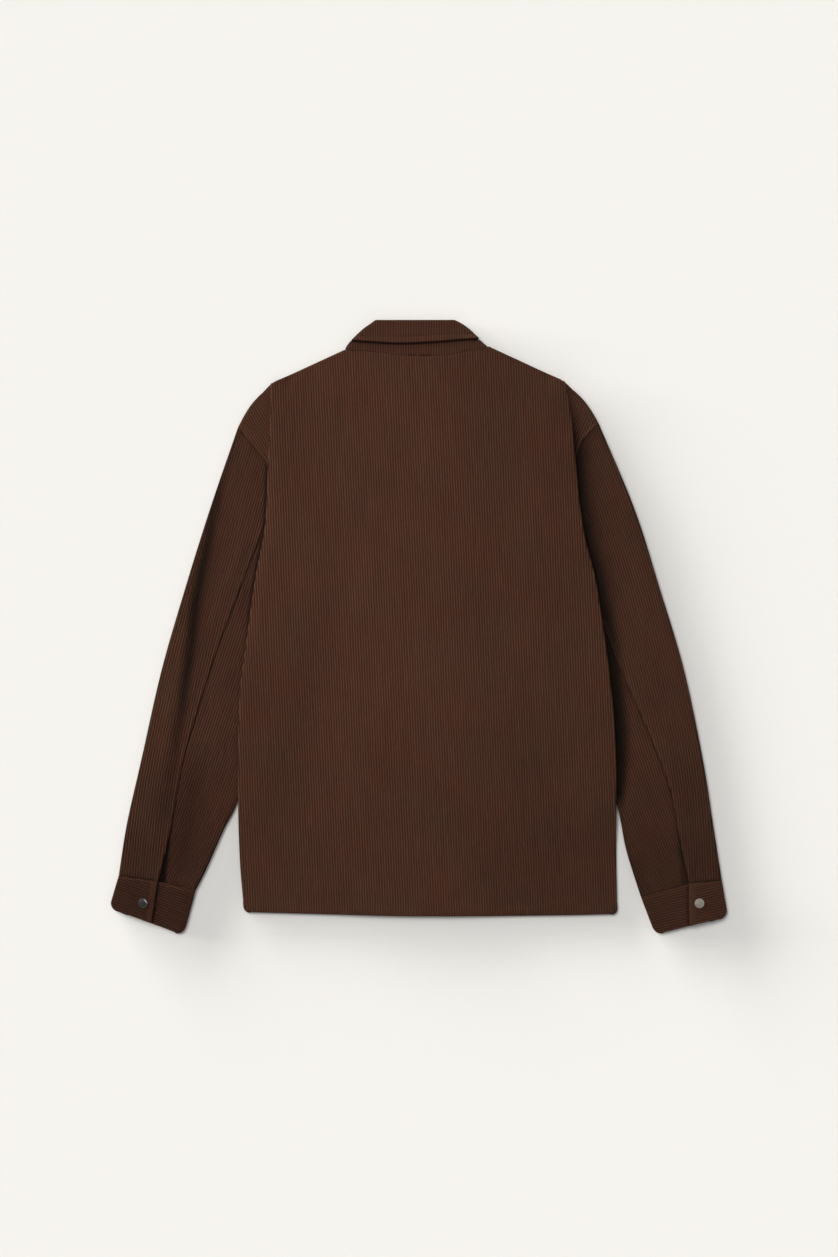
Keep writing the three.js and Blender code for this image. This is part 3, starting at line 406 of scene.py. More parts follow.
def cloth(name, node, grid, thick, material, top, wale, tone=1.0, relief=0.0, sewn=()):
    """Closed cloth from a grid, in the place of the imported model's `node`. `top` is a place of the
    grid where the outer face looks up, and `sewn` names the edges whose rim is pressed into a seam
    instead of standing round and free."""
    rows, columns = grid.shape[:2]
    normal = unit(np.cross(step_between(grid, 1), step_between(grid, 0)))
    flipped = normal[top][2] < 0
    if flipped:
        normal = -normal
    half = thick / 2
    inset = np.zeros_like(grid)
    every = slice(None)
    edges = {"first row": (0, 1), "last row": (-1, -2), "first column": (0, 1), "last column": (-1, -2)}
    for edge, (at, by) in edges.items():
        at, by = (((every, at), (every, by)) if "column" in edge else ((at,), (by,)))
        away = grid[by] - grid[at]
        far = np.linalg.norm(away, axis=-1, keepdims=True)
        rim = half * (SEWN_RIM if edge in sewn else 1)
        inset[at] += unit(away) * np.minimum(rim, 0.6 * far)
    relief = np.broadcast_to(relief, (rows, columns))[..., None]
    outer = grid + inset + normal * (half + relief)
    inner = grid + inset - normal * half
    ids = np.arange(rows * columns).reshape(rows, columns)
    loop = np.r_[ids[0, :-1], ids[:-1, -1], ids[-1, :0:-1], ids[:0:-1, 0]]

    def listed(values):
        return values.reshape(-1, values.shape[-1])

    place, aside, up = listed(grid), listed(inset) * RIM_IN, listed(normal)
    rings = [
        (place + aside + up * (RIM_UP * half + 0.7 * listed(relief)))[loop],
        (place + up * 0.3 * listed(relief))[loop],
        (place + aside - up * RIM_UP * half)[loop],
    ]
    points = np.vstack([listed(outer), listed(inner)] + rings)
    points[:, 2] = np.maximum(points[:, 2], 0)
    a, b, c, d = ids[:-1, :-1].ravel(), ids[:-1, 1:].ravel(), ids[1:, 1:].ravel(), ids[1:, :-1].ravel()
    size, around = rows * columns, len(loop)
    faces = [np.stack([a, b, c, d], 1), np.stack([a, d, c, b], 1) + size]
    lines = [loop] + [2 * size + k * around + np.arange(around) for k in range(3)] + [loop + size]
    for upper, lower in zip(lines, lines[1:]):
        faces.append(np.stack([np.roll(upper, -1), upper, lower, np.roll(lower, -1)], 1))
    faces = np.vstack(faces)
    if flipped:
        faces = faces[:, ::-1]
    tone = np.broadcast_to(tone, (rows, columns))[..., None]
    marks = {mark: np.vstack([listed(values)] * 2 + [listed(values)[loop]] * 3)
             for mark, values in (("wale", wale), ("tone", tone))}
    piece = mesh_object(name, points, faces.tolist(), material, wale=marks["wale"],
                        tone=marks["tone"][:, 0])
    width = np.linalg.norm(np.diff(grid, axis=1), axis=-1).sum(1).max()
    length = np.linalg.norm(np.diff(grid, axis=0), axis=-1).sum(0).max()
    cut = np.cross(grid[:-1, 1:] - grid[:-1, :-1], grid[1:, :-1] - grid[:-1, :-1])
    area = np.linalg.norm(cut, axis=-1).sum()
    print(f"{name}: {len(faces) * 2} triangles, cut {width:.0f} x {length:.0f} mm, {area / 1e6:.4f} m2")
    piece["cut"] = [width * MM, length * MM, area * MM * MM]
    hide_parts(node)
    return piece


print("cloth is", CLOTH, "mm thick, and a sewn rim goes in", round(CLOTH / 2 * SEWN_RIM, 3), "mm")

# %% Points round a fold
TURN_STEPS = 8


def half_turn(edge, away, from_z, to_z, thick, steps=TURN_STEPS):
    """Points round a fold. `edge` is the outermost place it reaches and `away` points there."""
    radius = abs(from_z - to_z) / 2
    centre = np.asarray(edge, float) - np.asarray(away) * (radius + thick / 2)
    angle = np.linspace(0, np.pi, steps + 1)
    place = centre + np.outer(radius * np.sin(angle), away)
    return np.column_stack([place, mix(from_z, to_z, (1 - np.cos(angle)) / 2)])


def level_points(places, z):
    return np.column_stack([places, np.broadcast_to(z, len(places))])


print("a fold has", TURN_STEPS + 1, "points")

# %% [markdown]
# ## Writing a finish as sums
# A shader is a set of sums on values that change over the surface. Wired by hand, a sum of five terms
# is five boxes on the screen. Here a value from a node is kept as a Wire, and Python's own signs add
# the Math nodes. Colours are mixed with Mix and scaled with Vector Math, because a Math node would
# turn a colour grey. Every other node comes from the one method `node`.

# %% A wire that takes part in sums
class Wire:
    """One output of a node, which takes part in sums like a number."""

    def __init__(self, finish, socket):
        self.finish = finish
        self.socket = socket

    def sum(self, operation, first, second=0.0):
        math = self.finish.node("ShaderNodeMath", {"operation": operation}, {0: first, 1: second})
        return math["Value"]

    def __add__(self, other):
        return self.sum("ADD", self, other)

    def __radd__(self, other):
        return self.sum("ADD", other, self)

    def __sub__(self, other):
        return self.sum("SUBTRACT", self, other)

    def __rsub__(self, other):
        return self.sum("SUBTRACT", other, self)

    def __mul__(self, other):
        return self.sum("MULTIPLY", self, other)

    def __rmul__(self, other):
        return self.sum("MULTIPLY", other, self)

    def __pow__(self, other):
        return self.sum("POWER", self, other)

    def __abs__(self):
        return self.sum("ABSOLUTE", self)


print("signs that add Math nodes: + - * ** and abs")

# %% A finish
class Made:
    """A node that has been made; its outputs are taken by name."""

    def __init__(self, finish, node):
        self.finish = finish
        self.node = node

    def __getitem__(self, name):
        socket = next(s for s in self.node.outputs if s.name == name and s.enabled)
        return Wire(self.finish, socket)


class Finish:
    """A material that is written as sums."""

    def __init__(self, name):
        self.material = bpy.data.materials.new(name)
        self.material.use_nodes = True
        self.tree = self.material.node_tree
        self.tree.nodes.clear()

    def node(self, kind, settings=None, sockets=None):
        made = self.tree.nodes.new(kind)
        for setting, value in (settings or {}).items():
            if setting == "stops":
                ramp = made.color_ramp
                while len(ramp.elements) < len(value):
                    ramp.elements.new(0.5)
                for stop, (place, colour) in zip(ramp.elements, value):
                    stop.position = place
                    stop.color = colour
            else:
                setattr(made, setting, value)
        for name, value in (sockets or {}).items():
            if isinstance(name, int):
                socket = made.inputs[name]
            else:
                socket = next(s for s in made.inputs if s.name == name and s.enabled)
            if isinstance(value, Wire):
                self.tree.links.new(value.socket, socket)
            else:
                socket.default_value = value
        return Made(self, made)

    def noise(self, place, scale, detail=2.0, rough=0.5):
        sockets = {"Vector": place, "Scale": scale, "Detail": detail, "Roughness": rough}
        return self.node("ShaderNodeTexNoise", {}, sockets)["Fac"]

    def place(self):
        return self.node("ShaderNodeTexCoord")["Object"]

    def ramp(self, value, low, high, start=0.0, end=1.0, kind="SMOOTHSTEP"):
        sockets = {"Value": value, "From Min": low, "From Max": high, "To Min": start, "To Max": end}
        return self.node("ShaderNodeMapRange", {"interpolation_type": kind}, sockets)["Result"]

    def bump(self, height, strength, distance):
        sockets = {"Strength": strength, "Distance": distance, "Height": height}
        return self.node("ShaderNodeBump", {}, sockets)["Normal"]

    def vector(self, operation, *values):
        math = self.node("ShaderNodeVectorMath", {"operation": operation}, dict(enumerate(values)))
        return math["Value" if operation in ("LENGTH", "DOT_PRODUCT") else "Vector"]

    def mark(self, name):
        return self.node("ShaderNodeAttribute", {"attribute_name": name})

    def blend(self, factor, first, second):
        settings = {"data_type": "RGBA", "clamp_factor": True}
        return self.node("ShaderNodeMix", settings, {"Factor": factor, "A": first, "B": second})["Result"]

    def scaled(self, colour, factor):
        sockets = {"Vector": colour, "Scale": factor}
        return self.node("ShaderNodeVectorMath", {"operation": "SCALE"}, sockets)["Vector"]

    def point(self, x, y, z=0.0):
        return self.node("ShaderNodeCombineXYZ", {}, {"X": x, "Y": y, "Z": z})["Vector"]

    def parts(self, vector):
        return self.node("ShaderNodeSeparateXYZ", {}, {"Vector": vector})

    def done(self, sockets):
        surface = self.node("ShaderNodeBsdfPrincipled", {}, sockets)
        self.node("ShaderNodeOutputMaterial", {}, {"Surface": surface["BSDF"]})
        return self.material


def colour(red, green, blue):
    """A colour as a screen shows it, turned into the light it stands for."""
    shown = np.array([red, green, blue]) / 255
    light = np.where(shown <= 0.04045, shown / 12.92, ((shown + 0.055) / 1.055) ** 2.4)
    return (*light.tolist(), 1.0)


print("a mid brown as light:", [round(c, 3) for c in colour(73, 47, 37)[:3]])

# %% [markdown]
# ## The ribbed velvet
# Corduroy is a velvet whose pile stands in ribs, the wales, with bare ground in the grooves between
# them. The ribs could be modelled, but there are hundreds of them, so they are drawn from the mark
# "wale" that each point carries: its whole part numbers the rib, and its fraction says where on the rib
# a place lies. The same shape lifts the pile through a Bump node and darkens the grooves. The dark groove
# colour is partly the bare ground and partly painted shade in the grooves. The pile of each rib leans
# its own way, so ribs differ a little. Cloth whose face turns away from straight up, at a fold or a rim,
# gets painted shade.

# %% Corduroy
def corduroy(name, ridge, groove_in_shade, warm, cool):
    finish = Finish(name)
    wale = finish.parts(finish.mark("wale")["Vector"])
    across, along, shows = wale["X"], wale["Y"], wale["Z"]
    # the mark of painted light and shade, together with the pile's own tone
    tone = finish.mark("tone")["Fac"]
    place = finish.place()
    sway = finish.noise(place, 45.0, 1.0)  # ribs wander a little
    number_line = across + (sway - 0.5) * 0.35
    number = finish.node("ShaderNodeMath", {"operation": "FLOOR"}, {0: number_line})["Value"]
    from_middle = abs(number_line - number - 0.5) * 2.0
    rib = (1.0 - from_middle**1.7) * shows
    streak = finish.noise(finish.point(number * 7.31, along * 22.0), 1.0, 3.0, 0.6)  # each rib's lean
    fuzz = finish.noise(finish.point(across * 10.0, along * 1400.0), 1.0, 2.0, 0.6)  # single tufts
    nap = finish.noise(finish.point(across * 3.0, along * 260.0), 1.0, 2.0)  # brushed streaks
    cloud = finish.noise(place, 6.0, 4.0, 0.68)  # patches that lie another way
    hue = finish.noise(place, 15.0, 2.0, 0.5)
    look = finish.parts(finish.node("ShaderNodeNewGeometry")["Normal"])
    # painted shade: cloth whose face turns away from straight up is darkened
    painted_side_shade = finish.ramp(abs(look["Z"]), 0.25, 0.95, 0.42)
    # the groove colour is bare ground with painted shade in the grooves
    pile = finish.blend(rib * 0.85 + (1.0 - shows) * 0.55 + fuzz * 0.25 - 0.05, groove_in_shade, ridge)
    tinted = finish.blend((hue - 0.5) * 2.4 + 0.5, warm, cool)
    whole = finish.node("ShaderNodeMix", {"data_type": "RGBA", "blend_type": "MULTIPLY"},
                        {"Factor": 1.0, "A": pile, "B": tinted})["Result"]
    # painted light and shade from the mark and the painted side shade scale the colour
    light = tone * painted_side_shade * (0.78 + streak * 0.44) * (0.79 + cloud * 0.42) * (0.93 + nap * 0.14)
    height = rib + fuzz * 0.16 + nap * 0.1
    return finish.done({
        "Base Color": finish.scaled(whole, light),
        "Roughness": 0.82 + fuzz * 0.16,
        "Normal": finish.bump(height, 0.7, 0.0009),
        "Specular IOR Level": 0.08,
        "Sheen Weight": 0.2,
        "Sheen Roughness": 0.5,
        "Sheen Tint": (0.55, 0.34, 0.2, 1.0),
    })


velvet = corduroy(
    "ribbed_velvet",
    ridge=colour(89, 56, 42),
    # the groove colour holds painted shade
    groove_in_shade=colour(22, 13, 8),
    warm=(1.06, 0.97, 0.95, 1.0),
    cool=(0.94, 1.03, 1.02, 1.0),
)
print("ribbed velvet:", len(velvet.node_tree.nodes), "nodes")

# %% [markdown]
# ## The wales' direction
# Wales run straight down the body, and lean a little because the shirt lies a little askew. On the
# sleeves they lean with the sleeve, and lean less towards the cuff. A table of leans is added up into
# one guide line, and every wale of the piece runs beside it. Round a fold the count goes on by the
# cloth's own length, as it does on real cloth.

# %% Counting wales
BODY_LEAN = 2.6
CAP_LEAN = {"left": 31.0, "right": -24.0}
SLEEVE_LEAN = {
    # (y, degrees outwards going down)
    ("upper", "left"): [(230, 17), (50, 15.5), (-60, 14), (-147, 12), (-250, 7), (-340, 4.5)],
    ("under", "left"): [(180, 18), (-100, 19), (-230, 21), (-345, 27)],
    ("upper", "right"): [(230, 21), (100, 19), (20, 15), (-60, 14), (-140, 12), (-225, 6),
                         (-280, 2.5), (-340, 2.5)],
    ("under", "right"): [(180, 19), (-200, 20), (-345, 27)],
}


def straight_wales(x, y, lean):
    """How far across the wales a place lies, where they lean `lean` degrees to +x going down."""
    angle = np.radians(lean)
    return x * np.cos(angle) + y * np.sin(angle)


def leaning_wales(table):
    """The same for wales that lean as the table says, measured outwards."""
    heights = np.linspace(-360, 280, 321)
    slopes = np.tan(np.radians(read(table, heights)))
    guide = -np.r_[0, np.cumsum((slopes[1:] + slopes[:-1]) / 2 * np.diff(heights))]
    return lambda out, y: (out - np.interp(y, heights, guide)) * np.cos(np.radians(read(table, -50)))


def round_folds(count, grid, first, last):
    """The count between columns first and last is kept; past them it goes on by the cloth's length."""
    steps = np.linalg.norm(np.diff(grid, axis=1), axis=-1)
    sense = np.sign(count[:, last] - count[:, first])
    slope = np.abs(count[:, last] - count[:, first]) / steps[:, first:last].sum(1)
    for column in range(last + 1, grid.shape[1]):
        count[:, column] = count[:, column - 1] + sense * slope * steps[:, column - 1]
    for column in range(first - 1, -1, -1):
        count[:, column] = count[:, column + 1] - sense * slope * steps[:, column]
    return count


def wale_marks(count, along, shows=1.0):
    shows = np.broadcast_to(shows, count.shape)
    return np.stack([count / WALE, along * MM, shows], -1)


print("100 mm of cloth have", round(100 / WALE), "wales")

# %% [markdown]
# ## The back
# The back is one plain piece. At each side it folds under, and above the underarm it folds out again
# to the armhole seam, where its corner shows beside the sleeve with its wales turned. The hem is
# turned up and stitched 15.6 mm from its edge: the second ply lifts the cloth a little, and the stitches
# press a fine trough into it. Rows are set closer at the hem, where the detail is. Each row is worked
# out in three parts: one turned-under side, the middle, and the other side.

# %% One turned-under side of the back
MAIN_COLUMNS, CAP_COLUMNS, BETWEEN = 126, 24, 3
SIDE_STEPS = 10  # steps round the fold at the side
SHOULDER_ROUND = 4  # how far the shoulder's line bows out above the armhole


def armhole_parts(side):
    """The armhole's line above the sleeve's back seam, and below it."""
    arm = side["armhole"]
    split = [out for out, _ in arm].index(side["seam"][0][0])
    return smooth_line(arm[:split + 1]), smooth_line(arm[split:])


def armhole_point(side, t):
    """A point of the armhole seam, 1 at the shoulder."""
    upper, lower = armhole_parts(side)
    first, second = (lengths_along(line(np.linspace(0, 1, 40)))[-1] for line in (upper, lower))
    past, turn = 1 - t, first / (first + second)
    return upper(past / turn) if past < turn else lower((past - turn) / (1 - turn))


def turned_under(side, y):
    """One row at one side: from the armhole or side seam, under the back, to the back's fold."""
    low, high = side["armhole"][-1][1], side["back_fold"][0][0]
    level = float(turned_level(y))
    upper = float(back_level(side["hand"] * fold_out(side, y), y))
    turn = half_turn((fold_out(side, y), y), (1, 0), level, upper, CLOTH, SIDE_STEPS)
    end = float(turn_end(side, y))
    if y > low:
        t = (y - low) / (high - low)
        inward = half_turn((end, y), (-1, 0), SLEEVE_LEVEL, level, CLOTH)
        seam, c = armhole_point(side, t), np.linspace(0, 1, CAP_COLUMNS, endpoint=False)[:, None] ** 1.5
        cap = mix(seam, inward[0, :2], c) + SHOULDER_ROUND * np.sin(np.pi * c) * t**6
        hidden = np.vstack([level_points(cap, SLEEVE_LEVEL), inward])
    else:
        length = min(STEP_DOWN, turn[0, 0] - end - 2)
        c = np.linspace(0, 1, CAP_COLUMNS + TURN_STEPS + 1)
        hidden = np.column_stack([end + length * c, c * 0 + y, mix(FRONT_LEVEL, level, ease(c, 0, 1))])
    reach = np.linspace(hidden[-1, 0], turn[0, 0], BETWEEN + 1)[1:-1]
    between = np.column_stack([reach, reach * 0 + y, reach * 0 + level])
    return np.vstack([hidden, between, turn])


SIDE_COLUMNS = CAP_COLUMNS + TURN_STEPS + 1 + BETWEEN - 1 + SIDE_STEPS + 1
print("a row turns under at each side in", SIDE_COLUMNS, "points")

# %% The rows of the back
BELOW_UNDERARM = 22  # the row that stays level is so far below the underarm
hem_rows = -1 + 0.05 * np.linspace(0, 1, 19) ** 1.35
back_rows = np.r_[hem_rows, np.linspace(-0.94, 0, 92), np.linspace(0, 1, 78)[1:]]


def back_row(v):
    """One row: -1 at the hem, 0 level below the underarm, 1 at the neck and shoulders."""
    sides = list(SIDES.values())
    ends = []
    for side in sides:
        middle = side["armhole"][-1][1] - BELOW_UNDERARM
        y = mix(middle, side["hem"], -v) if v < 0 else mix(middle, side["back_fold"][0][0], v)
        row = turned_under(side, y)
        row[:, 0] *= side["hand"]
        ends.append(row)
    u = np.linspace(0, 1, MAIN_COLUMNS + 1)[1:-1]
    start, end = ends[0][-1], ends[1][-1]
    x, base = mix(start[0], end[0], u), mix(start[1], end[1], u)
    apex = mix(sides[0]["back_fold"][0][0], sides[1]["back_fold"][0][0], u)
    corner = mix(sides[0]["hem"], sides[1]["hem"], u)
    up = ease(v, 0.35, 1.25) / ease(1, 0.35, 1.25) * (top_line(x) - 0.05 - apex)
    down = ease(-v, 0.6, 1.2) / ease(1, 0.6, 1.2) * (read(HEM, x) - corner)
    y = base + (up if v > 0 else down)
    return np.vstack([ends[0], np.column_stack([x, y, back_level(x, y)]), ends[1][::-1]])


back_grid = np.array([back_row(v) for v in back_rows])
print("the back has", back_grid.shape[0], "rows of", back_grid.shape[1], "points")

# %% The back's hem, neck seam and corners
HEM_STITCH = 15.6  # from the hem's edge to its stitches
ARMHOLE_STITCHES = (2.6, 8.5)  # from the armhole seam to its two rows of stitches
x, y = back_grid[..., 0], back_grid[..., 1]
from_hem = y - read(HEM, x)
second_ply = 0.35 * ease(from_hem, 17.5, 15)
stitch_trough = 0.6 * bell(from_hem - HEM_STITCH, 1.2)
neck_ridge = 0.3 * bell(top_line(x) - y - 3, 2.0)
in_view = np.zeros(x.shape, bool)
in_view[:, SIDE_COLUMNS - 6:-SIDE_COLUMNS + 6] = True
back_relief = np.where(in_view, second_ply - stitch_trough + neck_ridge, 0)

count = round_folds(straight_wales(x, y, BODY_LEAN), back_grid, SIDE_COLUMNS - 1,
                    x.shape[1] - SIDE_COLUMNS)
above = y > SIDES["left"]["armhole"][-1][1]
cap_painted_light = np.zeros(x.shape)
CAPS = {"left": (slice(0, CAP_COLUMNS + 2), [0]), "right": (slice(-CAP_COLUMNS - 2, None), [-1])}
for name, (columns, seam_column) in CAPS.items():
    turned = straight_wales(x[:, columns], y[:, columns], CAP_LEAN[name])
    count[:, columns] = np.where(above[:, columns], turned, count[:, columns])
    far = plan_distance(back_grid[:, columns], back_grid[:, seam_column])
    ridge = 0.55 * bell(far - 1.8, 1.3) - 0.35 * bell(far - 5.5, 1.0)
    back_relief[:, columns] = np.where(above[:, columns], ridge, 0)
    # lighter along the stitched ridge: a painted highlight
    line = 0.3 * bell(far - ARMHOLE_STITCHES[0], 1.1) + 0.14 * bell(far - ARMHOLE_STITCHES[1], 1.2)
    beside = np.abs(x[:, columns]) - fold_out(SIDES[name], y[:, columns])
    # painted shade in the armhole seam, and on the right a painted shadow of the body's fold as well
    dark = 0.45 * bell(far, 0.9)
    if name == "right":
        dark = dark + 0.75 * bell(beside, 9) * ease(y[:, columns], 300, 240)
    cap_painted_light[:, columns] = np.where(above[:, columns], line - dark, 0)
print("the corners beside the sleeves are", round(float(above[:, 0].mean() * 100)), "% of the rows")

# %% Make the back
BODY_LIGHT = 1.02
# painted light: the back is lighter towards the upper left, where the light comes from, and darker
# towards the right and the hem
BODY_PAINTED_FALLOFF = [(x, -60, 200, 0.18), (x, -60, -240, 0.06), (y, 40, -330, 0.13)]  # place, from, to, darker
body_painted_light = BODY_LIGHT
for place, start, end, darker in BODY_PAINTED_FALLOFF:
    body_painted_light = body_painted_light - darker * ease(place, start, end)
# a painted highlight along the left fold
left_fold = np.abs(x + side_line(SIDES["left"], y) - 5)
body_painted_light = body_painted_light + 0.16 * bell(left_fold, 7) * ease(y, 290, 230) * ease(y, -200, -60)
# painted shade along the hem's edge and in the folds
body_painted_light = body_painted_light * (1 - 0.4 * bell(from_hem, 1.5)) * fold_shade("back", x, y)
middle = (len(back_rows) // 2, x.shape[1] // 2)
back = cloth("back_panel", "back", back_grid, CLOTH, velvet, middle, wale_marks(count, -y),
             body_painted_light + cap_painted_light, back_relief, sewn=("first column", "last column", "last row"))

# %% [markdown]
# ## The sleeves
# Each sleeve is cut in two pieces, an upper one round its outer fold and an under one round its inner
# fold. Both seams could be drawn on one tube, but two pieces with round rims give the real seam: a
# groove with a soft ridge beside it. From the end of the seam to the cuff the two pieces are not sewn.
# That is the vent, where the upper piece's edge stands on the under piece.

# %% The plan of a sleeve
BACK_SEAM, FRONT_SEAM = 0.55, 0.42  # shares of the sleeve's width
SLEEVE_PUFF = 1.3  # how far the top layer stands off the one below
TURN_ROOM = 4.5  # how far the flat layers keep inside the folds
SLEEVE_LAP = 0.0003  # share of its length by which the sleeve goes into the armhole seam
sleeve_rows = np.r_[np.linspace(0, 0.006, 3), np.linspace(0.012, 1, 150)]


def sleeve_plan(side):
    """The place at share w of the sleeve's width, from its outer side, and share v of its length."""
    above_seam, below_seam = armhole_parts(side)
    seam = smooth_line(side["seam"])
    seam_end = side["seam"][-1]
    top_outer, top_inner = side["cuff_top"]
    outer = patch(above_seam, smooth_line([top_outer, seam_end]), smooth_line(side["outer"]), seam)
    inner = patch(below_seam, smooth_line([seam_end, top_inner]), seam, smooth_line(side["inner"]))

    def at(w, v):
        w = np.asarray(w, float)
        over = outer(np.minimum(w / BACK_SEAM, 1), v)
        under = inner(np.maximum((w - BACK_SEAM) / (1 - BACK_SEAM), 0), v)
        return np.where((w < BACK_SEAM)[..., None], over, under)

    return at


def sleeve_level(side, name, place):
    """The height of the top layer, which lies low beside the body and at the armhole seam."""
    out, y = place[..., 0], place[..., 1]
    clear = ease(out - fold_out(side, y), 1, 30)
    arm = side["armhole"][1]
    near_seam = ease(np.hypot(out - arm[0], y - arm[1]), 10, 60)
    puff = SLEEVE_PUFF + fold_lift(name, side["hand"] * out, y)
    return SLEEVE_LEVEL + np.maximum(0, puff) * clear * near_seam


def sleeve_grid(side, name, top, bottom):
    """Rows from the back seam over the top layer to the fold, round it, and back underneath."""
    plan = sleeve_plan(side)
    fold = top[-1]
    rows = []
    for v in sleeve_rows:
        share = mix(-SLEEVE_LAP, 1, v)
        edge = plan(fold, share)
        away = unit(edge - plan(mix(fold, 0.5, 0.1), share))
        reach = max(1, np.linalg.norm(edge - plan(0.5, share)))
        level = float(sleeve_level(side, name, edge - away * 6))
        turn = half_turn(edge, away, level, FRONT_LEVEL, CLOTH)

        def kept_off(w):
            return mix(w, 0.5, np.maximum(0, 1 - np.abs(w - fold) * 2) * TURN_ROOM / reach)

        upper, lower = plan(kept_off(top[:-1]), share), plan(kept_off(bottom[1:]), share)
        z = sleeve_level(side, name, upper)
        rows.append(np.vstack([level_points(upper, z), turn, level_points(lower, FRONT_LEVEL)]))
    grid = np.array(rows)
    grid[..., 0] *= side["hand"]
    return grid


half_way = sleeve_plan(SIDES["left"])([0.0, 1.0], 0.5)
print("half way down, the left sleeve is", round(float(np.ptp(half_way[:, 0]))), "mm wide")

# %% A sleeve's painted light and shade
SEAM_STITCH = 2.8  # from the back seam to its stitches
VENT = {"starts": 0.845, "gape": 10.5, "lift": 0.9, "sink": 1.15}
SLEEVE_FADES = [(-110, -230, 0.12), (-235, -300, 0.16)]  # from and to a height, how much darker
SLEEVE_TONES_AND_SHADES = {
    # plain cloth, width and lower strength of the painted shadow beside the body, painted shade inside
    # the vent, and at the seam
    "left": {"plain": 0.84, "shade": 3.5, "low": 0.25, "vent": 0.96, "seam": 0.22},
    "right": {"plain": 0.75, "shade": 18, "low": 1, "vent": 0.45, "seam": 0.1},
}


def sleeve_painted_light_and_tone(part, name, grid, from_seam, open_vent):
    """How light or dark the sleeve is painted: painted shadow by the body, painted shade at the folds,
    rims, seams and inside the vent, and a painted highlight beside the stitches.
    """
    side, looks = SIDES[name], SLEEVE_TONES_AND_SHADES[name]
    out, y = np.abs(grid[..., 0]), grid[..., 1]
    top = grid[..., 2] > SLEEVE_LEVEL - 0.1
    outer = out_at(side["outer"], y)
    inner = out_at(side["inner"], y)
    tone = looks["plain"]
    for start, end, darker in SLEEVE_FADES:
        tone = tone * (1 - darker * ease(y, start, end))
    tone = tone * fold_shade(name, grid[..., 0], y)
    # painted shade along the outer and the inner rim
    tone = tone * (1 - 0.45 * bell(outer - out, 1.8))
    tone = tone * (1 - 0.25 * bell(out - inner, 4))
    if part == "upper":
        # a painted highlight on the ridge beside the stitches
        tone = tone + 0.14 * bell(from_seam - SEAM_STITCH, 1.8) * top
    else:
        gape = VENT["gape"] * open_vent
        # painted shade in the seam, and inside the vent
        tone = tone * (1 - looks["seam"] * bell(from_seam, 3) * top)
        tone = tone * (1 - looks["vent"] * ease(from_seam, gape + 0.5, gape - 2.5) * top)
    # painted shade in the armhole seam, along the first rows
    rows = np.arange(grid.shape[0])[:, None]
    tone = tone * (1 - 0.45 * bell(rows, 1.2))
    # the painted shadow that the body's turned edge casts on the sleeve
    from_body = np.maximum(0, out - fold_out(side, y))
    flat = mix(4, 2, ease(y, -20, 60))
    wide = looks["shade"] * mix(0.6, 1, ease(y, -235, -150))
    body_edge_painted_shadow = 0.93 * bell(from_body, wide, flat) * ease(y, -242, -215) * ease(y, 290, 240)
    body_edge_painted_shadow = body_edge_painted_shadow * mix(looks["low"], 1, ease(y, -30, 30))
    return tone * (1 - body_edge_painted_shadow * top)


print("a vent takes", round((1 - VENT["starts"]) * 100, 1), "% of the sleeve's length")

# %% Make the sleeves
GRIDS = {}  # the places of a piece's grid, kept for its stitches
HALF_SEAM = 0.003  # half a seam, as a share of the sleeve's width
SLEEVE_COLUMNS = {
    # shares of the width where the top layer and the layer below start and end, and their columns
    "upper": [(BACK_SEAM - HALF_SEAM, 0, 27), (0, FRONT_SEAM - HALF_SEAM, 16)],
    "under": [(BACK_SEAM + HALF_SEAM, 1, 22), (1, FRONT_SEAM + HALF_SEAM, 22)],
}


def sleeve_piece(part, name):
    top, bottom = (np.linspace(*run) for run in SLEEVE_COLUMNS[part])
    grid = sleeve_grid(SIDES[name], name, top, bottom)
    x, y = grid[..., 0], grid[..., 1]
    from_seam = plan_distance(grid, grid[:, :1])
    on_top = np.arange(grid.shape[1]) < len(top)
    v = sleeve_rows[:, None]
    open_vent = np.clip((v - VENT["starts"]) / (1 - VENT["starts"]), 0, 1)
    if part == "upper":
        grid[..., 2] += on_top * open_vent * VENT["lift"] * bell(from_seam, 9)
        relief = on_top * 0.55 * bell(from_seam - 2.2, 2.0)
    else:
        grid[..., 2] -= on_top * open_vent * VENT["sink"] * bell(from_seam, 7)
        relief = on_top * -0.25 * bell(from_seam, 2.5)
    count = leaning_wales(SLEEVE_LEAN[part, name])(np.abs(x), y)
    count = round_folds(count, grid, 0, len(top) - 1)
    tone = sleeve_painted_light_and_tone(part, name, grid, from_seam * on_top, open_vent)
    piece = cloth(f"sleeve_{part}_piece_{name}", f"sleeve_{part}_{name}", grid, CLOTH, velvet, (75, 3),
                  wale_marks(count, -y), tone, relief,
                  sewn=("first row", "last row", "first column", "last column"))
    GRIDS[piece.name] = grid
    return piece


sleeves = {(part, name): sleeve_piece(part, name) for name in SIDES for part in ("upper", "under")}

# %% [markdown]
# ## The cuffs
# A cuff is a stiff band of two plies, closed with a snap. Its wales run round the arm. The end that
# laps over lies outermost and its free end faces the body. It is one flattened ring: underlap, inner
# fold, underside, outer fold, overlap.

# %% The plan of a cuff
UNDERLAP_END = 0.27  # share of the cuff's width where the underlap ends
OVERLAP_COLUMNS = 24
CUFF_WIDE, CUFF_HIGH, CUFF_CORNER = 100, 45, 9
CUFF_GAP = 0.004  # share of the height by which the cuff keeps off the sleeve
CUFF_BOTTOM = CUFF_CLOTH / 2
CUFF_UNDERLAP = CUFF_BOTTOM + CUFF_LAYER
CUFF_OVERLAP = CUFF_BOTTOM + 2 * CUFF_LAYER
low_rows = 1 - 0.21 * np.linspace(1, 0, 14) ** 2  # closer at the round corners
cuff_rows = np.r_[np.linspace(0, 0.12, 6), np.linspace(0.16, 0.76, 16), low_rows]


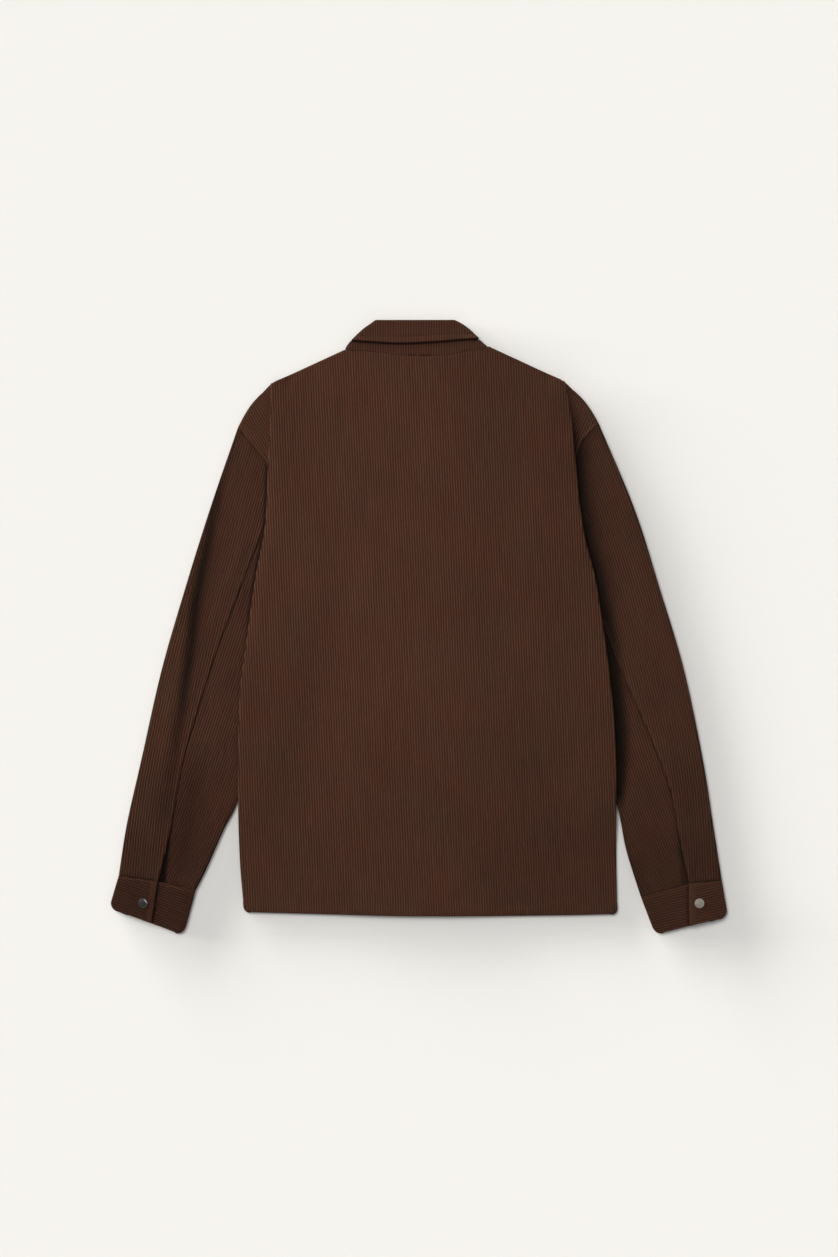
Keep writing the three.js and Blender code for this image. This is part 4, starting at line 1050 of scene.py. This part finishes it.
def cuff_plan(side):
    """The place at share w of the cuff's width, from its outer side, and share h of its height."""
    outer, seam, inner = map(np.array, (side["cuff_top"][0], side["seam"][-1], side["cuff_top"][1]))
    first = np.linalg.norm(seam - outer)
    turn = first / (first + np.linalg.norm(inner - seam))
    low_outer, low_inner = np.array(side["cuff_bottom"])

    def at(w, h):
        corner = corner_in(CUFF_CORNER, (1 - h) * CUFF_HIGH)
        w = mix(np.asarray(w, float)[..., None], 0.5, 2 * corner / CUFF_WIDE)
        top = np.where(w < turn, mix(outer, seam, w / turn), mix(seam, inner, (w - turn) / (1 - turn)))
        return mix(top, mix(low_outer, low_inner, w), mix(CUFF_GAP, 1, h))

    return at


def cuff_row(side, h):
    plan = cuff_plan(side)
    outer_level = mix(CUFF_UNDERLAP, CUFF_OVERLAP, 0.45)

    def turn(w, from_z, to_z):
        edge = plan(w, h)
        return half_turn(edge, unit(edge - plan(0.5, h)), from_z, to_z, CUFF_CLOTH)

    overlap = np.linspace(0.1, mix(*side["overlap_end"], h), OVERLAP_COLUMNS)
    rise = mix(outer_level, CUFF_OVERLAP, ease(overlap, 0.07, UNDERLAP_END - 0.05))
    return np.vstack([
        level_points(plan(np.linspace(UNDERLAP_END, 0.94, 26), h), CUFF_UNDERLAP),
        turn(1.0, CUFF_UNDERLAP, CUFF_BOTTOM),
        level_points(plan(np.linspace(0.93, 0.07, 16), h), CUFF_BOTTOM),
        turn(0.0, CUFF_BOTTOM, outer_level),
        level_points(plan(overlap, h), rise),
    ])


print("a cuff lies", CUFF_OVERLAP + CUFF_CLOTH / 2, "mm high at its overlap")

# %% Make the cuffs
LAP_STITCH = 8.5  # from the overlap's free end to its stitches
CUFF_TONES = {"left": (0.49, 0.52), "right": (0.64, 0.58)}  # by the outer fold, and past the lap


def cuff_piece(name):
    side = SIDES[name]
    grid = np.array([cuff_row(side, h) for h in cuff_rows])
    low_outer, low_inner = np.array(side["cuff_bottom"])
    run = unit(low_inner - low_outer)
    from_bottom = np.abs((grid[..., 1] - low_outer[1]) * run[0] - (grid[..., 0] - low_outer[0]) * run[1])
    along = (grid[..., 0] - low_outer[0]) * run[0] + (grid[..., 1] - low_outer[1]) * run[1]
    grid[..., 0] *= side["hand"]
    from_end = plan_distance(grid, grid[:, -1:])
    lap = np.arange(grid.shape[1]) >= grid.shape[1] - OVERLAP_COLUMNS
    from_top = (cuff_rows * CUFF_HIGH)[:, None]
    strip = lap * ease(from_end, LAP_STITCH + 1, LAP_STITCH - 1)
    relief = lap * -0.45 * bell(from_end - LAP_STITCH, 0.9) + strip * 0.25
    relief = relief - 0.35 * bell(from_top - 3.5, 0.8)
    shows = 1 - 0.85 * strip
    # a painted highlight along the ridge under the top seam
    tone = mix(*CUFF_TONES[name], ease(along, 30, 70)) + 0.26 * bell(from_top - 1.9, 1.1)
    # lighter on the strip, and a painted shadow under the overlap's edge
    tone = (tone + 0.12 * strip) * np.where(lap, 1, 1 - 0.75 * bell(from_end, 2.6, 4))
    piece = cloth(f"cuff_band_{name}", f"cuff_{name}", grid, CUFF_CLOTH, velvet, (10, grid.shape[1] - 5),
                  wale_marks(from_bottom, along, shows), tone, relief, sewn=("first row",))
    GRIDS[piece.name] = grid
    return piece


cuffs = {name: cuff_piece(name) for name in SIDES}

# %% [markdown]
# ## The collar
# A shirt collar has a stand, which goes round the neck, and a leaf, which falls over it. Laid flat they
# are two rings, one in the other. The leaf rolls over the stand's top, so its last rows turn down
# there. Its free edge stands off a little and throws a dark line under it. That line is also painted as
# shade along the edge and on the stand below it. The round band below the leaf's stitches gets a painted
# highlight, and the leaf gets painted shade near the roll.

# %% Rows round the collar
COLLAR_TURN = 8  # how far in from the collar's sides the neck seam's round turn begins
NECK_DROP = 62  # how much lower the neck lies at the front than at the back
END_COLUMNS = 24  # of one front end, from the middle to the side
BESIDE_NECK = 92.0  # where, out from the middle, a row's height at the collar's sides is taken
COLLAR_SIDES = [
    # (y, left, right) reach
    (351, 96, 92), (361, 95.5, 92), (370.5, 89, 82.5), (386, 73.5, 66.5), (393.5, 62.8, 56),
    (397.5, 57, 47.5),
]
COLLAR_ROLL = 397.5
LEAF_EDGE = [(-88, 371.5), (-66, 370), (-26, 367.8), (19, 369.6), (56, 372.6), (82, 374)]
BELOW_LEAF = 1.2  # how far below the leaf's edge the stand still reaches the collar's outline
COLLAR_POINT = 34  # how much longer the leaf is at its points than at the back
LEAF_LEVEL = EDGE_LEVEL + LAYER


def leaf_edge(x):
    return read(LEAF_EDGE, x)


def neck_drop(x, reach):
    return NECK_DROP * np.maximum(0, 1 - (x / reach) ** 2)


def collar_row(back_y, front_y, bottom, top, inset):
    """One row round a collar piece, from its left end under the middle to its right end."""
    radius = (top - bottom) / 2
    parts = []
    for column, hand in ((1, -1), (2, 1)):
        sides = [(row[0], row[column]) for row in COLLAR_SIDES]
        flat = float(read(sides, back_y(hand * BESIDE_NECK))) - inset - radius - CLOTH / 2
        out = np.linspace(2, flat, END_COLUMNS + 1)[:-1]
        angle = np.linspace(0, np.pi, TURN_STEPS + 1)
        turn_x = hand * (flat + radius * np.sin(angle))
        turn_y = mix(front_y(turn_x, flat), back_y(turn_x), angle / np.pi)
        end = np.column_stack([hand * out, front_y(hand * out, flat), out * 0 + bottom])
        turn = np.column_stack([turn_x, turn_y, mix(bottom, top, (1 - np.cos(angle)) / 2)])
        parts.append((np.vstack([end, turn]), flat))
    x = np.linspace(-parts[0][1], parts[1][1], 61)[1:-1]
    behind = np.column_stack([x, back_y(x), x * 0 + top])
    return np.vstack([parts[0][0], behind, parts[1][0][::-1]])


def stand_row(share):
    """Up to share 0.4 the stand shows and reaches the outline; past it, it lies inside the leaf."""

    def back_y(x):
        shown = mix(read(NECK, x) - 0.1, leaf_edge(x) - BELOW_LEAF, min(share / 0.4, 1))
        return mix(shown, COLLAR_ROLL - 3, max(0, share - 0.4) / 0.6)

    def front_y(x, reach):
        own = neck_reach(x) - COLLAR_TURN - 2
        return back_y(x) - mix(neck_drop(x, own), neck_drop(x, reach), ease(share, 0.4, 0.55))

    inset = mix(SEAM, 3 * LAYER, ease(share, 0.4, 0.5))
    return collar_row(back_y, front_y, SLEEVE_LEVEL, EDGE_LEVEL, inset)


def leaf_row(share):
    """0 at the leaf's free edge and 1 at the roll."""

    def front_y(x, reach):
        drop = neck_drop(x, reach)
        point = COLLAR_POINT * ease(np.abs(x), 4, 52) * ease(np.abs(x), reach, min(52, reach - 8))
        return mix(leaf_edge(x) - drop - point, COLLAR_ROLL - drop, share)

    def back_y(x):
        return mix(leaf_edge(x), COLLAR_ROLL, share)

    return collar_row(back_y, front_y, FRONT_LEVEL, LEAF_LEVEL, 0)


print("the leaf falls", round(float(COLLAR_ROLL - leaf_edge(0.0)), 1), "mm at the back")

# %% Make the collar
LEAF_STITCH = 8.5  # from the leaf's free edge to its stitches
ROLL = 2.4  # radius of the roll at the collar's top
NECK_BARS = [(-14, -5), (0.5, 16)]  # from and to of two short bars sewn at the neck seam


def collar_piece(node, rows, is_leaf):
    grid = np.array(rows)
    columns = grid.shape[1]
    behind = (grid[..., 2] > (grid[..., 2].max() + grid[..., 2].min()) / 2) * 1.0
    if is_leaf:
        far = plan_distance(grid, grid[-1:])
        low = ROLL * (1 - np.sqrt(np.clip(1 - (1 - np.clip(far / ROLL, 0, 1)) ** 2, 0, 1)))
        grid[..., 2] += np.where(behind > 0, -low, low)
        free = plan_distance(grid, grid[:1])
        grid[..., 2] += 0.7 * bell(free, 7) * behind
        relief = behind * -0.45 * bell(free - LEAF_STITCH, 0.9)
        # a painted highlight on the round band below the stitches, and painted shade near the roll
        tone = 0.86 + 0.13 * ease(free, 9, 6) - 0.1 * ease(far, 5, 1)
        # painted shade along the leaf's free edge
        tone = tone * (1 - 0.8 * bell(free, 1.3) * behind)
    else:
        relief = 0
        below = leaf_edge(grid[..., 0]) - grid[..., 1]
        # painted shadow of the leaf's edge on the stand below it
        tone = 0.84 - 0.6 * ease(below, 3.4, 1.2) * behind
        above_seam = grid[..., 1] - read(NECK, grid[..., 0])
        for start, end in NECK_BARS:
            bar = ease(grid[..., 0], start - 1, start + 1) * ease(grid[..., 0], end + 1, end - 1)
            tone = tone - 0.4 * bar * ease(above_seam, 3, 1.5) * behind
    end = END_COLUMNS + TURN_STEPS + 1
    count = round_folds(grid[..., 0].copy(), grid, end, columns - 1 - end)
    return cloth(f"{node}_piece", node, grid, CLOTH, velvet, (len(grid) // 2, columns // 2),
                 wale_marks(count, grid[..., 1], 0.75), tone, relief,
                 sewn=() if is_leaf else ("first row",))


leaf_shares = np.r_[np.linspace(0, 0.4, 16), np.linspace(0.46, 0.9, 9), np.linspace(0.93, 1, 7)]
leaf = collar_piece("collar_leaf", [leaf_row(s) for s in leaf_shares], True)
stand_shares = np.r_[np.linspace(0, 0.4, 9), np.linspace(0.42, 0.52, 5), np.linspace(0.6, 1, 5)]
stand = collar_piece("collar_stand", [stand_row(s) for s in stand_shares], False)

# %% [markdown]
# ## The fronts and the placket
# The two fronts lie underneath, on the surface. The right one laps over the placket in the middle,
# where the six snaps are. They are hidden here, but a shirt has them, so they get the same cloth.

# %% The plan of a front
PLACKET = 17  # half the placket's width
STEP_ON = (16, 3)  # how far beside the placket the right front begins and ends to step up on it
PAST_MIDDLE = 12  # how far the right front laps over past the middle
front_shares = np.r_[np.linspace(0, 0.05, 6), np.linspace(0.08, 0.86, 60), np.linspace(0.88, 1, 16)]


def front_edge_out(side, y):
    out, low = side["armhole"][-1]
    corner = out - TUCK_PAST_UNDERARM - 6
    if y <= low:
        return mix(float(turn_end(side, y)) - CLOTH / 2 - SEAM, corner, ease(y - low, -34, -12))
    arm = float(out_at(side["armhole"], y))
    return mix(corner, arm - 2 * SEAM, ease(y - low, 3, 22))


def front_top(side, out):
    (tip_out, tip_y), (fold_y, fold_out_at) = side["shoulder"], side["back_fold"][0]
    t = np.clip((out - fold_out_at) / (tip_out - fold_out_at), 0, 1)
    shoulder = mix(fold_y, tip_y, t) + SHOULDER_ROUND * np.sin(np.pi * t)
    x = side["hand"] * out
    neck = read(NECK, x) - neck_drop(x, side["neck"][0] - COLLAR_TURN) - 5 * SEAM
    beside = np.where(out > side["neck"][0], top_line(x), neck)
    return np.where(out > fold_out_at, shoulder, beside)


def front_grid(side, inner_xs, level_at):
    tip_out, tip_y = side["shoulder"]

    def columns_at(edge):
        return np.r_[np.linspace(side["hand"] * edge, inner_xs[0], 41)[:-1], inner_xs]

    top_x = columns_at(tip_out - SEAM)
    rows = []
    for v in front_shares:
        edge_y = mix(side["hem"], tip_y, v)
        x = columns_at(tip_out - SEAM if v == 1 else front_edge_out(side, edge_y))
        up = ease(v, 0.45, 1.3) / ease(1, 0.45, 1.3) * (front_top(side, np.abs(top_x)) - tip_y)
        down = ease(1 - v, 0.7, 1.1) / ease(1, 0.7, 1.1) * (read(HEM, x) - side["hem"])
        y = edge_y + (up if v > 0.5 else down)
        rows.append(np.column_stack([x, y, level_at(x, y)]))
    return np.array(rows)


print("the left front reaches out", round(float(front_edge_out(SIDES["left"], 0.0)), 1), "mm")

# %% Make the fronts and the placket
def right_front_level(x, y):
    """The right front lies on the placket at its edge."""
    return front_level(x, y) + LAYER * ease(x, PLACKET + STEP_ON[0], PLACKET + STEP_ON[1])


def body_piece(piece_name, node, grid):
    x, y = grid[..., 0], grid[..., 1]
    relief = -0.4 * bell(y - read(HEM, x) - HEM_STITCH, 1.6)
    marks = wale_marks(straight_wales(x, y, 0), -y)
    return cloth(piece_name, node, grid, CLOTH, velvet, (5, 2), marks, 0.95, relief)


front_left = body_piece("front_panel_left", "front_left",
                        front_grid(SIDES["left"], np.array([-PLACKET - SEAM]), front_level))
step_xs = np.linspace(PLACKET + STEP_ON[0], PLACKET + STEP_ON[1], 7)
right_xs = np.r_[step_xs, np.linspace(PLACKET, -PAST_MIDDLE, 7)]
front_right = body_piece("front_panel_right", "front_right",
                         front_grid(SIDES["right"], right_xs, right_front_level))
placket_top = float(front_top(SIDES["left"], np.array(0.001))) - 2
placket_y = np.linspace(float(read(HEM, 0)), placket_top, 90)
placket_grid = np.array([
    [(x, y, float(front_level(0, y))) for x in np.linspace(-PLACKET, PLACKET, 13)] for y in placket_y
])
placket = body_piece("placket_strip", "front_placket", placket_grid)

# %% [markdown]
# ## The snaps
# Each cuff closes with a snap. Its cap is pressed from thin sheet metal, with a rolled rim and a low
# dome. A Screw modifier could turn it from its profile. Here a loop does, as it is only one ring of
# points for each row. The metal is brushed in rings and is paler at the rim and where it has rubbed.
# A pale crescent painted on the dome stands for its reflection of a window. The two caps are one metal,
# painted in two looks for the light each one mirrors: the left one as a dark gunmetal, the right one
# pale.

# %% Snap metal
def snap_metal(name, dark, pale, glint, centre, rough, metal):
    finish = Finish(name)
    place = finish.place()
    flat = finish.vector("MULTIPLY", finish.vector("SUBTRACT", place, centre), (1, 1, 0))
    radius = finish.vector("LENGTH", flat)
    rings = finish.noise(finish.point(radius * 9000.0, 0.0), 1.0, 3.0, 0.6)
    worn = finish.noise(place, 420.0, 4.0, 0.6)
    rim = finish.ramp(radius, 0.0050, 0.0060, 0.0, 0.35, "LINEAR")
    shade = finish.blend(worn * 0.7 + rings * 0.2 + rim, dark, pale)
    towards_window = finish.vector("DOT_PRODUCT", flat, (0.78, 0.62, 0.0))
    # a painted reflection: a pale crescent on the dome where a window would mirror
    painted_window_reflection = finish.ramp(towards_window, 0.0030, 0.0044)
    inside = finish.ramp(radius, 0.0056, 0.0049)
    shade = finish.blend(painted_window_reflection * inside, shade, glint)
    return finish.done({
        "Base Color": shade,
        "Metallic": metal,
        "Roughness": rough + worn * 0.18,
        "Normal": finish.bump(rings + worn * 0.6, 0.25, 0.00008),
    })


print("snap metal has rings, worn places and a crescent")

# %% Turn the caps
def snap_cap(name, node, centre, material):
    """A cap turned round its middle: (radius, height) rows in shares of the whole."""
    low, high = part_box(node)
    tall = (high[2] - low[2]) / MM
    radius = (high[0] - low[0]) / MM / 2
    profile = [(0, 0), (0.9, 0), (0.97, 0.1), (1.0, 0.3), (1.0, 0.55), (0.97, 0.75), (0.91, 0.86),
               (0.84, 0.84), (0.8, 0.74), (0.76, 0.72), (0.7, 0.78), (0.55, 0.88), (0.38, 0.95),
               (0.2, 0.99), (0.0, 1.0)]
    turns = 64
    angle = np.linspace(0, 2 * np.pi, turns, endpoint=False)
    points = [(centre[0], centre[1], centre[2])]
    for r, h in profile[1:-1]:
        ring = np.column_stack([np.cos(angle) * r * radius + centre[0],
                                np.sin(angle) * r * radius + centre[1],
                                angle * 0 + centre[2] + h * tall])
        points += ring.tolist()
    points.append((centre[0], centre[1], centre[2] + tall))
    faces = [[0, 1 + (i + 1) % turns, 1 + i] for i in range(turns)]
    for k in range(len(profile) - 3):
        a, b = 1 + k * turns, 1 + (k + 1) * turns
        faces += [[a + i, a + (i + 1) % turns, b + (i + 1) % turns, b + i] for i in range(turns)]
    last = 1 + (len(profile) - 3) * turns
    faces += [[last + i, last + (i + 1) % turns, len(points) - 1] for i in range(turns)]
    piece = mesh_object(name, points, faces, material)
    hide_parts(node)
    return piece


SNAP_PAINTED_LOOKS = {
    # dark and pale colours, the painted reflection's colour, roughness, how metallic; the sides differ
    # for the light each mirrors
    "left": (colour(30, 28, 27), colour(72, 70, 68), colour(176, 172, 166), 0.38, 0.7),
    "right": (colour(118, 113, 102), colour(150, 145, 134), colour(156, 151, 140), 0.55, 0.5),
}
for name in SIDES:
    low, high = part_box(f"cuff_snap_{name}")
    middle = [(a + b) / 2 for a, b in zip(low, high)]
    dark, pale, glint, rough, metal = SNAP_PAINTED_LOOKS[name]
    finish = snap_metal(f"snap_{name}", dark, pale, glint, (middle[0], middle[1], 0), rough, metal)
    centre = (middle[0] / MM, middle[1] / MM, low[2] / MM)
    snap_cap(f"snap_cap_{name}", f"cuff_snap_{name}", centre, finish)
front_metal = snap_metal("front_snaps", colour(52, 50, 47), colour(110, 108, 104), colour(110, 108, 104),
                         (0, 0, 0), 0.35, 0.9)
for number in range(1, 7):
    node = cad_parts[f"front_snap_{number}"]
    node.data.materials.clear()
    node.data.materials.append(front_metal)
print("two cuff snaps made, six front snaps given their metal")

# %% [markdown]
# ## Stitches
# Topstitching is a row of short threads, each dipping into the cloth at its two ends. An array modifier
# on a curve could lay them, but they have to follow the face of cloth that is not flat. So each stitch
# is set down on the face under it, and all the stitches of a seam are joined in one mesh.

# %% Thread
def thread_finish():
    finish = Finish("thread")
    place = finish.place()
    ply = finish.noise(place, 2600.0, 2.0, 0.6)
    shade = finish.noise(place, 90.0, 2.0)
    return finish.done({
        "Base Color": finish.blend(ply * 0.6 + shade * 0.4, colour(40, 25, 18), colour(78, 51, 39)),
        "Roughness": 0.7 + ply * 0.2,
        "Normal": finish.bump(ply, 0.5, 0.0001),
        "Specular IOR Level": 0.15,
    })


thread = thread_finish()
print("thread:", len(thread.node_tree.nodes), "nodes")

# %% Lay a row of stitches
THREAD, STITCH, PITCH = 0.42, 2.7, 3.4  # the thread's width, a stitch's length, from one to the next
RING = 6  # points round a thread


def face_finder(piece):
    """A function that gives the height of the piece's upper face at a place."""
    places = [v.co.copy() for v in piece.data.vertices]
    tree = BVHTree.FromPolygons(places, [p.vertices[:] for p in piece.data.polygons])

    def height(x, y):
        hit = tree.ray_cast(Vector((x * MM, y * MM, 0.05)), Vector((0, 0, -1)))[0]
        return None if hit is None else hit.z / MM

    return height


def stitch_row(name, piece, line, cover=()):
    """Stitches along a line of (x, y) places, laid on the piece, but not where `cover` lies on it."""
    height = face_finder(piece)
    above = [face_finder(other) for other in cover]
    line = np.asarray(line, float)
    length = lengths_along(line)
    points, faces = [], []
    ring = np.linspace(0, 2 * np.pi, RING, endpoint=False)
    # where along the stitch, how thick and how high, in shares of its length and of the thread
    shape = [(-0.5, 0.25, -0.5), (-0.34, 0.85, 0.05), (0, 1, 0.2), (0.34, 0.85, 0.05), (0.5, 0.25, -0.5)]
    for start in np.arange(1, length[-1] - STITCH, PITCH):
        here = np.array([np.interp(start, length, line[:, k]) for k in (0, 1)])
        there = np.array([np.interp(start + STITCH, length, line[:, k]) for k in (0, 1)])
        centre = (here + there) / 2
        z = height(*centre)
        if z is None or any((top(*centre) or -9) > z + 0.2 for top in above):
            continue
        run = unit(there - here)
        side = np.array([-run[1], run[0]])
        base = len(points)
        for along, wide, lift in shape:
            for a in ring:
                flat = centre + run * along * STITCH + side * np.cos(a) * wide * THREAD / 2
                points.append((*flat, z + lift * THREAD + np.sin(a) * wide * THREAD / 2))
        for k in range(len(shape) - 1):
            for i in range(RING):
                a, b = base + k * RING + i, base + k * RING + (i + 1) % RING
                faces.append([a, a + RING, b + RING, b])
        faces.append([base + i for i in range(RING)])
        faces.append([len(points) - 1 - i for i in range(RING)])
    row = mesh_object(name, points, faces, thread)
    print(f"{name}: {len(points) // (RING * len(shape))} stitches")
    return row


# %% Make the stitches
def beside_edge(grid, column, towards, apart):
    """A line that runs beside one edge of a grid, so far from it."""
    edge = grid[:, column, :2]
    return edge + unit(grid[:, towards, :2] - edge) * apart


HEM_RUN = (-222, 250, 160)  # from, to, and how many points
LEAF_RUN = (-82, 76, 90)
hem_x = np.linspace(*HEM_RUN)
hem_line = np.column_stack([hem_x, read(HEM, hem_x) + HEM_STITCH])
hem_stitches = stitch_row("hem_stitches", back, hem_line)
leaf_x = np.linspace(*LEAF_RUN)
leaf_line = np.column_stack([leaf_x, leaf_edge(leaf_x) + LEAF_STITCH])
leaf_stitches = stitch_row("leaf_stitches", leaf, leaf_line)
armhole_rows = back_grid[back_rows > 0.12]
SEWN_ON = {back: [hem_stitches], leaf: [leaf_stitches]}
for name, column, towards in (("left", 0, 12), ("right", -1, -13)):
    for apart in ARMHOLE_STITCHES:
        line = beside_edge(armhole_rows, column, towards, apart)
        line = line[np.abs(line[:, 0]) > fold_out(SIDES[name], line[:, 1]) + 2]
        SEWN_ON[back].append(stitch_row(f"armhole_stitches_{name}_{apart:.0f}", back, line))
    sleeve, cuff = sleeves["upper", name], cuffs[name]
    line = beside_edge(GRIDS[sleeve.name], 0, 3, SEAM_STITCH)
    SEWN_ON[sleeve] = [stitch_row(f"sleeve_stitches_{name}", sleeve, line, cover=[back])]
    line = beside_edge(GRIDS[cuff.name], -1, -8, LAP_STITCH)
    SEWN_ON[cuff] = [stitch_row(f"cuff_stitches_{name}", cuff, line)]

# %% [markdown]
# ## The surface, the light and the camera
# The shirt lies on a plain pale surface in a soft light from the upper left. A second, low light falls
# on the cloth alone and brings out its folds. A fan of weak, very low lights falls on the surface
# alone and gives the long soft shade beside the cloth. One wide window would give that shade too, but
# it would also flatten the folds. A dim sky fills the rest. The camera looks straight down through a
# long lens, so the shirt is drawn almost without perspective.

# %% The surface
FLOOR_REACH, FLOOR_LEVEL = 6.0, -0.0003


def pale_surface():
    finish = Finish("pale_surface")
    place = finish.place()
    grain = finish.noise(place, 300.0, 2.0)
    shade = finish.blend(grain, (0.708, 0.694, 0.666, 1), (0.724, 0.71, 0.682, 1))
    return finish.done({"Base Color": shade, "Roughness": 0.95, "Specular IOR Level": 0.1})


signs = ((-1, -1), (1, -1), (1, 1), (-1, 1))
corners = [(a * FLOOR_REACH, b * FLOOR_REACH, FLOOR_LEVEL) for a, b in signs]
floor_mesh = bpy.data.meshes.new("surface")
floor_mesh.from_pydata(corners, [], [(0, 1, 2, 3)])
floor_mesh.materials.append(pale_surface())
floor = bpy.data.objects.new("surface", floor_mesh)
bpy.context.scene.collection.objects.link(floor)
print("the surface reaches", FLOOR_REACH, "m each way")

# %% The lights
WINDOW = (1.0, 0.99, 0.97)
RAKES, RAKE_FROM, RAKE_STEP = 11, 117, 5.5  # the fan: its number, first azimuth and step in degrees
RAKE_PAIR = [(2.5, 3.05), (4.8, 1.08)]  # in turn along the fan: elevation and strength


def sun(name, azimuth, elevation, strength, softness, tint, only=()):
    """A light from far away. The azimuth is where it stands, from +x round to +y, in degrees.
    `only` holds the objects that it lights, where it doesn't light them all."""
    light = bpy.data.lights.new(name, "SUN")
    light.energy = strength
    light.angle = np.radians(softness)
    light.color = tint
    lamp = bpy.data.objects.new(name, light)
    a, e = np.radians(azimuth), np.radians(elevation)
    towards = Vector((np.cos(a) * np.cos(e), np.sin(a) * np.cos(e), np.sin(e)))
    lamp.rotation_euler = towards.to_track_quat("Z", "Y").to_euler()
    bpy.context.scene.collection.objects.link(lamp)
    if only:
        lit = bpy.data.collections.new(f"lit_by_{name}")
        for thing in only:
            lit.objects.link(thing)
        lamp.light_linking.receiver_collection = lit
    return lamp


garment = [thing for thing in bpy.context.scene.objects if thing.type == "MESH" and thing is not floor]
sun("key", 135, 50, 2.0, 34, (1.0, 0.985, 0.96))
sun("low", 140, 14, 1.5, 14, WINDOW, only=garment)
for number in range(RAKES):
    elevation, strength = RAKE_PAIR[number % 2]
    sun(f"rake_{number}", RAKE_FROM + RAKE_STEP * number, elevation, strength, 4.8, WINDOW, only=[floor])
world = bpy.data.worlds.new("soft_sky")
bpy.context.scene.world = world
world.use_nodes = True
sky = world.node_tree.nodes["Background"].inputs
sky["Color"].default_value = (0.97, 0.98, 1.0, 1)
sky["Strength"].default_value = 0.42

# %% The camera
CAMERA_HEIGHT, PICTURE_TALL, SENSOR = 4.0, 1.634, 36  # metres, metres at the surface, millimetres
lens = bpy.data.cameras.new("camera")
lens.sensor_width = SENSOR
lens.lens = SENSOR * CAMERA_HEIGHT / PICTURE_TALL
camera = bpy.data.objects.new("camera", lens)
camera.location = (0.0003, -0.0022, CAMERA_HEIGHT)
bpy.context.scene.collection.objects.link(camera)
bpy.context.scene.camera = camera
bpy.context.scene.view_settings.view_transform = "Standard"
print("lens", round(lens.lens, 1), "mm")

# %% [markdown]
# ## How each piece was cut
# Every piece of cloth carries the size it was cut to, before it was sewn and laid down; here that size
# is taken off each piece again. The width and length are those of the piece unrolled, and the area is
# that of the cloth itself. A table lists what each piece lies on.

RESTS = {
    back: ["front_left", "front_right"],
    front_left: [floor],
    front_right: [floor],
    placket: [floor],
    leaf: [floor],
    stand: [leaf],
    sleeves["upper", "left"]: [floor],
    sleeves["under", "left"]: [floor],
    sleeves["upper", "right"]: [floor],
    sleeves["under", "right"]: [floor],
    cuffs["left"]: [floor],
    cuffs["right"]: [floor],
}
for piece in RESTS:
    width, length, area = piece["cut"]
    del piece["cut"]
    [p if isinstance(p, str) else p.name for p in RESTS[piece]]
    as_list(SEWN_ON.get(piece, []))
print(len(RESTS), "pieces of cloth")
